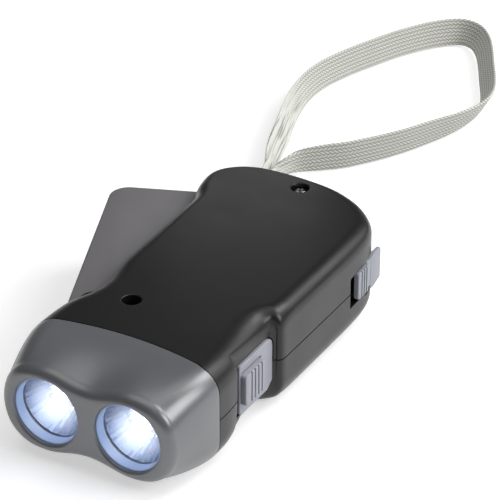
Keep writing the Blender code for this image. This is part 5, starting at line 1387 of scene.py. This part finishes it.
@dataclass
class Sliders:
    """The two pale thumb sliders: the front switch and the rear lever lock."""

    rib_groove: float = 0.5
    groove_flare: float = 0.12
    soft: float = 0.3
    switch_plate: tuple[Pair, ...] = ((30.4, 6.3), (42.4, 6.3), (45.0, 8.0), (45.0, 19.75), (29.6, 19.75),
                                      (29.6, 7.2))
    switch_corners: tuple[float, ...] = (0.5, 0.8, 0.8, 2.0, 0.8, 0.5)
    switch_thumb: tuple[Pair, Pair] = ((29.9, 9.3), (38.9, 17.4))
    # Shadow lines that part the thumb block from its plate, above it and behind it.
    switch_lines: tuple[Cuboid, ...] = (((22.5, 30.4, 17.4), (26.0, 39.3, 17.75)),
                                        ((22.5, 38.9, 8.6), (26.0, 39.3, 17.75)))
    switch_stem: Cuboid = ((16.9, 33.25, 11.5), (21.7, 36.25, 14.5))
    lock_plate: tuple[Pair, ...] = ((86.4, 9.4), (97.3, 9.4), (97.3, 17.0), (86.4, 17.0))
    lock_thumb: tuple[Pair, Pair] = ((84.0, 9.5), (89.4, 16.9))
    lock_line: Cuboid = ((23.9, 89.4, 9.0), (26.0, 90.2, 17.4))
    tail: tuple[Pair, ...] = ((92.0, 8.3), (94.0, 8.3), (97.4, 9.5), (97.4, 17.8), (94.4, 17.8), (92.0, 17.0))
    tail_corners: tuple[float, ...] = (0.3, 0.5, 0.5, 0.4, 0.5, 0.3)
    lock_stem: tuple[Cuboid, ...] = (((18.8, 90.6, 12.0), (23.3, 92.6, 16.0)),
                                     ((18.8, 90.6, 12.0), (20.8, 92.6, 20.9)))
    tongue: tuple[Pair, ...] = ((2.6, 86.9), (4.6, 86.9), (4.6, 90.6), (19.8, 90.6), (19.8, 92.6),
                                (2.6, 92.6))
    tongue_levels: Pair = (19.7, 20.9)

    def thumb(self, ends: tuple[Pair, Pair], inner: float, outer: float, ribs: int, lead: float) -> Blank:
        """Makes a raised block with upright grooves across its face.

        Args:
            ends: its lowest and its highest place back and up.
            inner: where it starts across the torch.
            outer: where its face ends.
            ribs: how many ribs the grooves leave.
            lead: how much wider the first rib is.

        Returns:
            The block.
        """
        low, high = ends
        outline = fillet((low, (high[0], low[1]), high, (low[0], high[1])), (0.8, 0.3, 0.3, 0.8))
        made = plate("thumb", outline, inner, outer, (0, self.soft), Facing.SIDE)
        pitch = (high[0] - low[0] - lead) / ribs
        half, flare = self.rib_groove / 2, self.rib_groove / 2 + self.groove_flare
        for k in range(1, ribs):
            back = low[0] + lead + pitch * k
            groove = fillet(((back - half, outer - 0.5), (back + half, outer - 0.5),
                             (back + flare, outer + 0.5), (back - flare, outer + 0.5)), (0.2, 0.2, 0, 0), 3)
            made.cut(Blank("groove", *skin([raised(groove[:, ::-1], level, Facing.UP)
                                            for level in (low[1] - 1, high[1] + 1)])))
        return made

    def build_switch(self) -> None:
        """Builds the front slider with its stem."""
        slider = plate("switch_thumb_slider", fillet(self.switch_plate, self.switch_corners), 21.3, 22.95,
                       (0.2, 0.25), Facing.SIDE)
        slider.join(self.thumb(self.switch_thumb, 21.7, 24.5, ribs=5, lead=1.1))
        slider.cut(*(block(*line) for line in self.switch_lines))
        slider.join(block(*self.switch_stem))
        slider.deliver("switch", SLIDER_ABS, "pale_slider", "switch_slider")

    def build_lock(self) -> None:
        """Builds the rear slider with its tail and the tongue that reaches the lever's catch."""
        slider = plate("lock_thumb_slider", fillet(self.lock_plate, (0.5,) * 4), 22.9, 24.3,
                       (0.2, self.soft), Facing.SIDE)
        slider.join(self.thumb(self.lock_thumb, 24.0, 25.3, ribs=4, lead=0.5))
        slider.cut(block(*self.lock_line))
        slider.join(plate("tail", fillet(self.tail, self.tail_corners), 23.4, 24.4, (0, self.soft),
                          Facing.SIDE),
                    *(block(*part) for part in self.lock_stem),
                    plate("tongue", np.array(self.tongue), *self.tongue_levels))
        slider.deliver("lock", SLIDER_ABS, "pale_slider", "lock_slider")


@dataclass
class CaseScrews:
    """Two pan-head screws with cross recesses, set down in the upper shell."""

    face: float = BODY_HEIGHT
    head: float = 1.7
    crown: float = 0.75
    shank: Pair = (1.2, 6.0)
    cross: Spot = (1.1, 0.3, 0.9)
    cross_turn: float = 25.0

    def build(self) -> None:
        """Turns each screw and cuts its cross."""
        long, wide, deep = self.cross
        for screw in CASE_SCREWS:
            x, back = screw.place
            top, under = self.face - screw.sink, self.face - screw.recess - self.head
            profile = [self.shank, (self.shank[0], under), (screw.radius, under)]
            profile += [(screw.radius - self.crown * (1 - math.cos(turn)),
                         top - self.crown * (1 - math.sin(turn))) for turn in np.linspace(0, math.pi / 2, 6)]
            made = turned(f"{screw.word}_case_screw", profile, screw.place, 40)
            for turn in (0, 90):
                bar = block((x - long, back - wide, top - deep), (x + long, back + wide, top + 2))
                made.cut(bar.turn(turn + self.cross_turn, screw.place))
            made.deliver("housing", STEEL, "steel", f"case_screw_{screw.word}")


@dataclass
class WristStrap:
    """The flat braided strap: gathered where it leaves the body, then standing on its edge.

    Each stop on its way gives a place across and back, how high its lower edge lies, its width, how far
    its top leans out of the loop in degrees, and how far its braid is spread, from 0 to 1.
    """

    thickness: float = 1.2
    step: float = 0.3
    across: int = 26
    stitch: float = 0.16
    fold: float = 0.22
    fold_width: float = 1.5
    stops: tuple[tuple[float, ...], ...] = (
        (-16.2, 103.6, 11.4, 2.8, 0, 0), (-18.3, 107.9, 11.3, 2.8, 0, 0), (-21.6, 114.0, 9.8, 2.8, 0, 0),
        (-25.2, 122.5, 6.6, 2.8, 0, 0), (-28.6, 132.0, 3.4, 2.8, 0, 0), (-30.2, 140.5, 1.8, 3.4, 0, 0.2),
        (-27.4, 148.9, 0.6, 6.6, 0, 0.9), (-22.0, 154.4, 0.2, 7.9, 0, 1), (-16.5, 159.8, 0.2, 8, 0, 1),
        (-8.6, 171.4, 0.2, 8, 4, 1), (-2.8, 183.2, 0.2, 8, 10, 1), (0.9, 192.0, 0.2, 8, 20, 1),
        (2.6, 200.8, 0.2, 8, 28, 1), (1.9, 208.4, 0.2, 8, 30, 1), (-1.0, 215.9, 0.2, 8, 30, 1),
        (-5.4, 224.4, 0.2, 8, 30, 1), (-9.6, 232.6, 0.2, 8, 30, 1), (-13.9, 239.8, 0.2, 8, 28, 1),
        (-18.6, 244.6, 0.2, 8, 24, 1), (-24.2, 245.2, 0.2, 8, 20, 1), (-30.4, 239.4, 0.2, 8, 18, 1),
        (-36.2, 229.5, 0.2, 8, 16, 1), (-40.0, 220.4, 0.2, 8, 16, 1), (-43.4, 211.0, 0.2, 8, 16, 1),
        (-46.1, 200.4, 0.2, 8, 16, 1), (-46.5, 190.8, 0.2, 8, 18, 0.9), (-44.8, 180.4, 0.2, 8, 20, 0.6),
        (-42.1, 171.0, 0.2, 8, 22, 0.3), (-39.0, 161.8, 0.2, 8, 24, 0.1), (-35.6, 150.4, 0.4, 6.8, 24, 0),
        (-32.4, 141.4, 1.4, 4.2, 16, 0), (-30.8, 131.6, 3.4, 2.8, 0, 0), (-27.2, 121.6, 6.6, 2.8, 0, 0),
        (-23.4, 112.8, 9.8, 2.8, 0, 0), (-20.0, 106.6, 11.3, 2.8, 0, 0), (-18.0, 102.8, 11.4, 2.8, 0, 0))

    def build(self) -> None:
        fine = smooth_line(np.array(self.stops), np.linspace(0, 1, 4001))
        half, lean = fine[:, 3] / 2, np.radians(fine[:, 4])
        level = fine[:, 2] + half * np.cos(lean) + self.thickness / 2 * np.abs(np.sin(lean))
        even, line, half, lean, braid = evened(np.column_stack((fine[:, :2], level)), self.step,
                                               half, lean, np.clip(fine[:, 5], 0, 1))
        along = np.gradient(line, axis=0)
        along /= np.linalg.norm(along, axis=1)[:, None]
        right = np.stack((along[:, 1], -along[:, 0], np.zeros(len(along))), axis=1)
        right /= np.linalg.norm(right, axis=1)[:, None]
        up = np.cross(right, along)
        cos, sin = np.cos(lean)[:, None], np.sin(lean)[:, None]
        wide, face = up * cos + right * sin, right * cos - up * sin
        span = np.sin(np.linspace(-math.pi / 2, math.pi / 2, self.across))
        shares = np.concatenate((span, span[::-1]))
        sides = np.concatenate((np.ones(self.across), -np.ones(self.across)))
        bulge = (1 - np.abs(shares) ** 8) ** 0.5 * sides
        v = shares[None, :] * half[:, None]
        stitches = BRAID.height(even[:, None] + 0 * v, v)
        folds = 0.5 + 0.5 * np.cos(v * math.tau / self.fold_width + even[:, None] * 0.05)
        relief = stitches * braid[:, None] * self.stitch + folds * (1 - braid[:, None]) * self.fold
        flat = self.thickness / 2 - self.stitch
        depth = bulge[None, :] * (flat + relief * (1 - np.abs(shares[None, :]) ** 6))
        spots = line[:, None, :] + wide[:, None, :] * v[:, :, None] + face[:, None, :] * depth[:, :, None]
        strap = Blank("braided_wrist_strap", *skin(list(spots)))
        mesh = strap.object.data
        count = len(shares)
        spread = mesh.attributes.new("braid", "FLOAT", "POINT")
        spread.data.foreach_set("value", np.repeat(braid, count))
        ends = np.empty(len(mesh.loops), int)
        mesh.loops.foreach_get("vertex_index", ends)
        weave = mesh.uv_layers.new(name="weave")
        weave.data.foreach_set("uv", np.stack((even[ends // count], v.ravel()[ends]), axis=1).ravel())
        piece = strap.deliver("housing", BRAID, "grey_strap", "wrist_strap", crease=0)


@dataclass
class InnerWorks:
    """The moving and electric parts that stay as the model has them, given their real finishes."""

    def build(self) -> None:
        """Dresses each node that is still shown."""
        finishes = {
            NYLON: ("lever_rack", "first_gear", "second_gear", "gear_frame", "gear_cover", "coil_bobbin"),
            STEEL: ("rack_screw", "first_axle", "second_axle", "frame_screw_1", "frame_screw_2",
                    "frame_screw_3", "lever_pin", "strap_pin", "slide_switch", "cell_1", "cell_2", "cell_3"),
            SPRING_STEEL: ("lever_spring",), SHEET_STEEL: ("stator_core",), BRASS: ("rotor_shaft",),
            FERRITE: ("ring_magnet",), COPPER: ("coil_winding",), BOARD: ("lamp_board", "main_board"),
            INNER_ABS: ("cell_holder",), RED_PVC: ("lamp_lead_1",), BLACK_PVC: ("lamp_lead_2",)}
        for finish, names in finishes.items():
            for name in names:
                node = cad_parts[name]
                if not node.data.materials:
                    node.data.materials.append(None)
                for place in node.material_slots:
                    place.material = finish.material()
                log.info("%s: %s", name, finish.name)


@dataclass(frozen=True)
class Panel:
    """A soft lamp: the way to it, its distance, its size, its power in watts and where it faces."""

    name: str
    way: Spot
    distance: float
    size: Pair
    power: float
    aim: Spot = (0.0, 0.0, 0.013)


@dataclass
class Studio:
    """A white floor, soft lamps from behind, and the camera where the picture was taken from."""

    target: Spot = (-8.865, 90.55, 10.8)
    eye: Spot = (269.93, -402.64, 339.19)
    lens: float = 187.4
    roll: float = 0.06
    air: float = 0.14
    floor_half: float = 3.0
    floor_level: float = -1e-4
    floor_lift: float = 0.5
    panels: tuple[Panel, ...] = (
        Panel("key_panel", (0.42, 0.50, 0.72), 0.9, (0.35, 0.35), 2.5),
        Panel("back_right_panel", (0.5, 0.75, 0.43), 0.9, (0.35, 0.35), 0.95),
        Panel("right_panel", (0.9, 0.1, 0.6), 1.1, (0.5, 0.5), 4.8),
        Panel("overhead_panel", (0.0, 0.0, 1.0), 1.2, (1.2, 1.2), 4.5),
        Panel("rear_sheen_panel", (-0.43, 0.75, 0.50), 0.08, (0.05, 0.03), 0.0038, (-0.018, 0.044, 0.026)))

    def place(self, name: str, data: Any) -> bpy.types.Object:
        """Puts a mesh, lamp or camera into the studio.

        Args:
            name: its name.
            data: the mesh, lamp or camera.

        Returns:
            Its object.
        """
        made = bpy.data.objects.new(name, data)
        bpy.context.collection.objects.link(made)
        return made

    def camera(self) -> None:
        """Places the camera."""
        made = bpy.data.cameras.new("camera")
        made.lens, made.sensor_width, made.clip_start = self.lens, 36.0, 0.01
        holder = self.place("camera", made)
        eye, target = Vector(to_row(self.eye)), Vector(to_row(self.target))
        turn = (target - eye).to_track_quat("-Z", "Y").to_matrix().to_4x4()
        roll = Matrix.Rotation(math.radians(self.roll), 4, "Z")
        holder.matrix_world = Matrix.Translation(eye) @ turn @ roll
        bpy.context.scene.camera = holder

    def floor(self) -> None:
        """Lays the floor, which looks white to the camera and in reflections but keeps the shadow."""
        far = self.floor_half
        mesh = bpy.data.meshes.new("floor")
        corners = ((-far, -far), (far, -far), (far, far), (-far, far))
        mesh.from_pydata([(*corner, self.floor_level) for corner in corners], [], [(0, 1, 2, 3)])
        paper = bpy.data.materials.new("white_paper")
        paper.use_nodes = True
        tree = paper.node_tree
        path = add_node(tree, "LightPath")
        seen = path.outputs["Is Camera Ray"]
        for ray in ("Is Glossy Ray", "Is Transmission Ray"):
            both = {0: seen, 1: path.outputs[ray]}
            seen = add_node(tree, "Math", {"operation": "MAXIMUM"}, both).outputs[0]
        lift = add_node(tree, "Math", {"operation": "MULTIPLY"}, {0: seen, 1: self.floor_lift})
        feed(tree.nodes["Principled BSDF"], {
            "Base Color": linear("#e8e8e8"), "Roughness": 0.9, "Specular IOR Level": 0.0,
            "Emission Color": linear("#ffffff"), "Emission Strength": lift.outputs[0]})
        mesh.materials.append(paper)
        self.place("floor", mesh)

    def hang(self, panel: Panel) -> None:
        """Hangs one soft panel, out of the camera's sight.

        Args:
            panel: the panel.
        """
        made = bpy.data.lights.new(panel.name, "AREA")
        made.shape, made.energy = "RECTANGLE", panel.power
        made.size, made.size_y = panel.size
        holder = self.place(panel.name, made)
        away = Vector(panel.way).normalized() * panel.distance
        holder.location = Vector(panel.aim) + away
        holder.rotation_euler = away.to_track_quat("Z", "Y").to_euler()
        holder.visible_camera = False

    def fill_air(self) -> None:
        """Fills the air with even light, and shows it white to the camera."""
        world = bpy.data.worlds.new("air")
        world.use_nodes = True
        bpy.context.scene.world = world
        tree = world.node_tree
        level = add_node(tree, "MapRange", None, {
            "Value": add_node(tree, "LightPath").outputs["Is Camera Ray"], "To Min": self.air, "To Max": 1.0})
        feed(tree.nodes["Background"], {"Color": linear("#ffffff"), "Strength": level.outputs[0]})

    def build(self) -> None:
        """Sets the studio up."""
        self.camera()
        self.floor()
        self.fill_air()
        for panel in self.panels:
            self.hang(panel)
        bpy.context.scene.view_settings.view_transform = "Standard"


def main() -> None:
    """Builds the studio, the strap and every piece in order."""
    logging.basicConfig(level=logging.INFO, format="%(message)s")
    Studio().build()
    WristStrap().build()
    joint = HeadJoint()
    BodyShells(joint).build()
    Head(joint).build()
    Lamps().build()
    SqueezeLever().build()
    sliders = Sliders()
    sliders.build_switch()
    sliders.build_lock()
    CaseScrews().build()
    InnerWorks().build()
    bpy.context.view_layer.update()


if __name__ == "__main__":
    main()
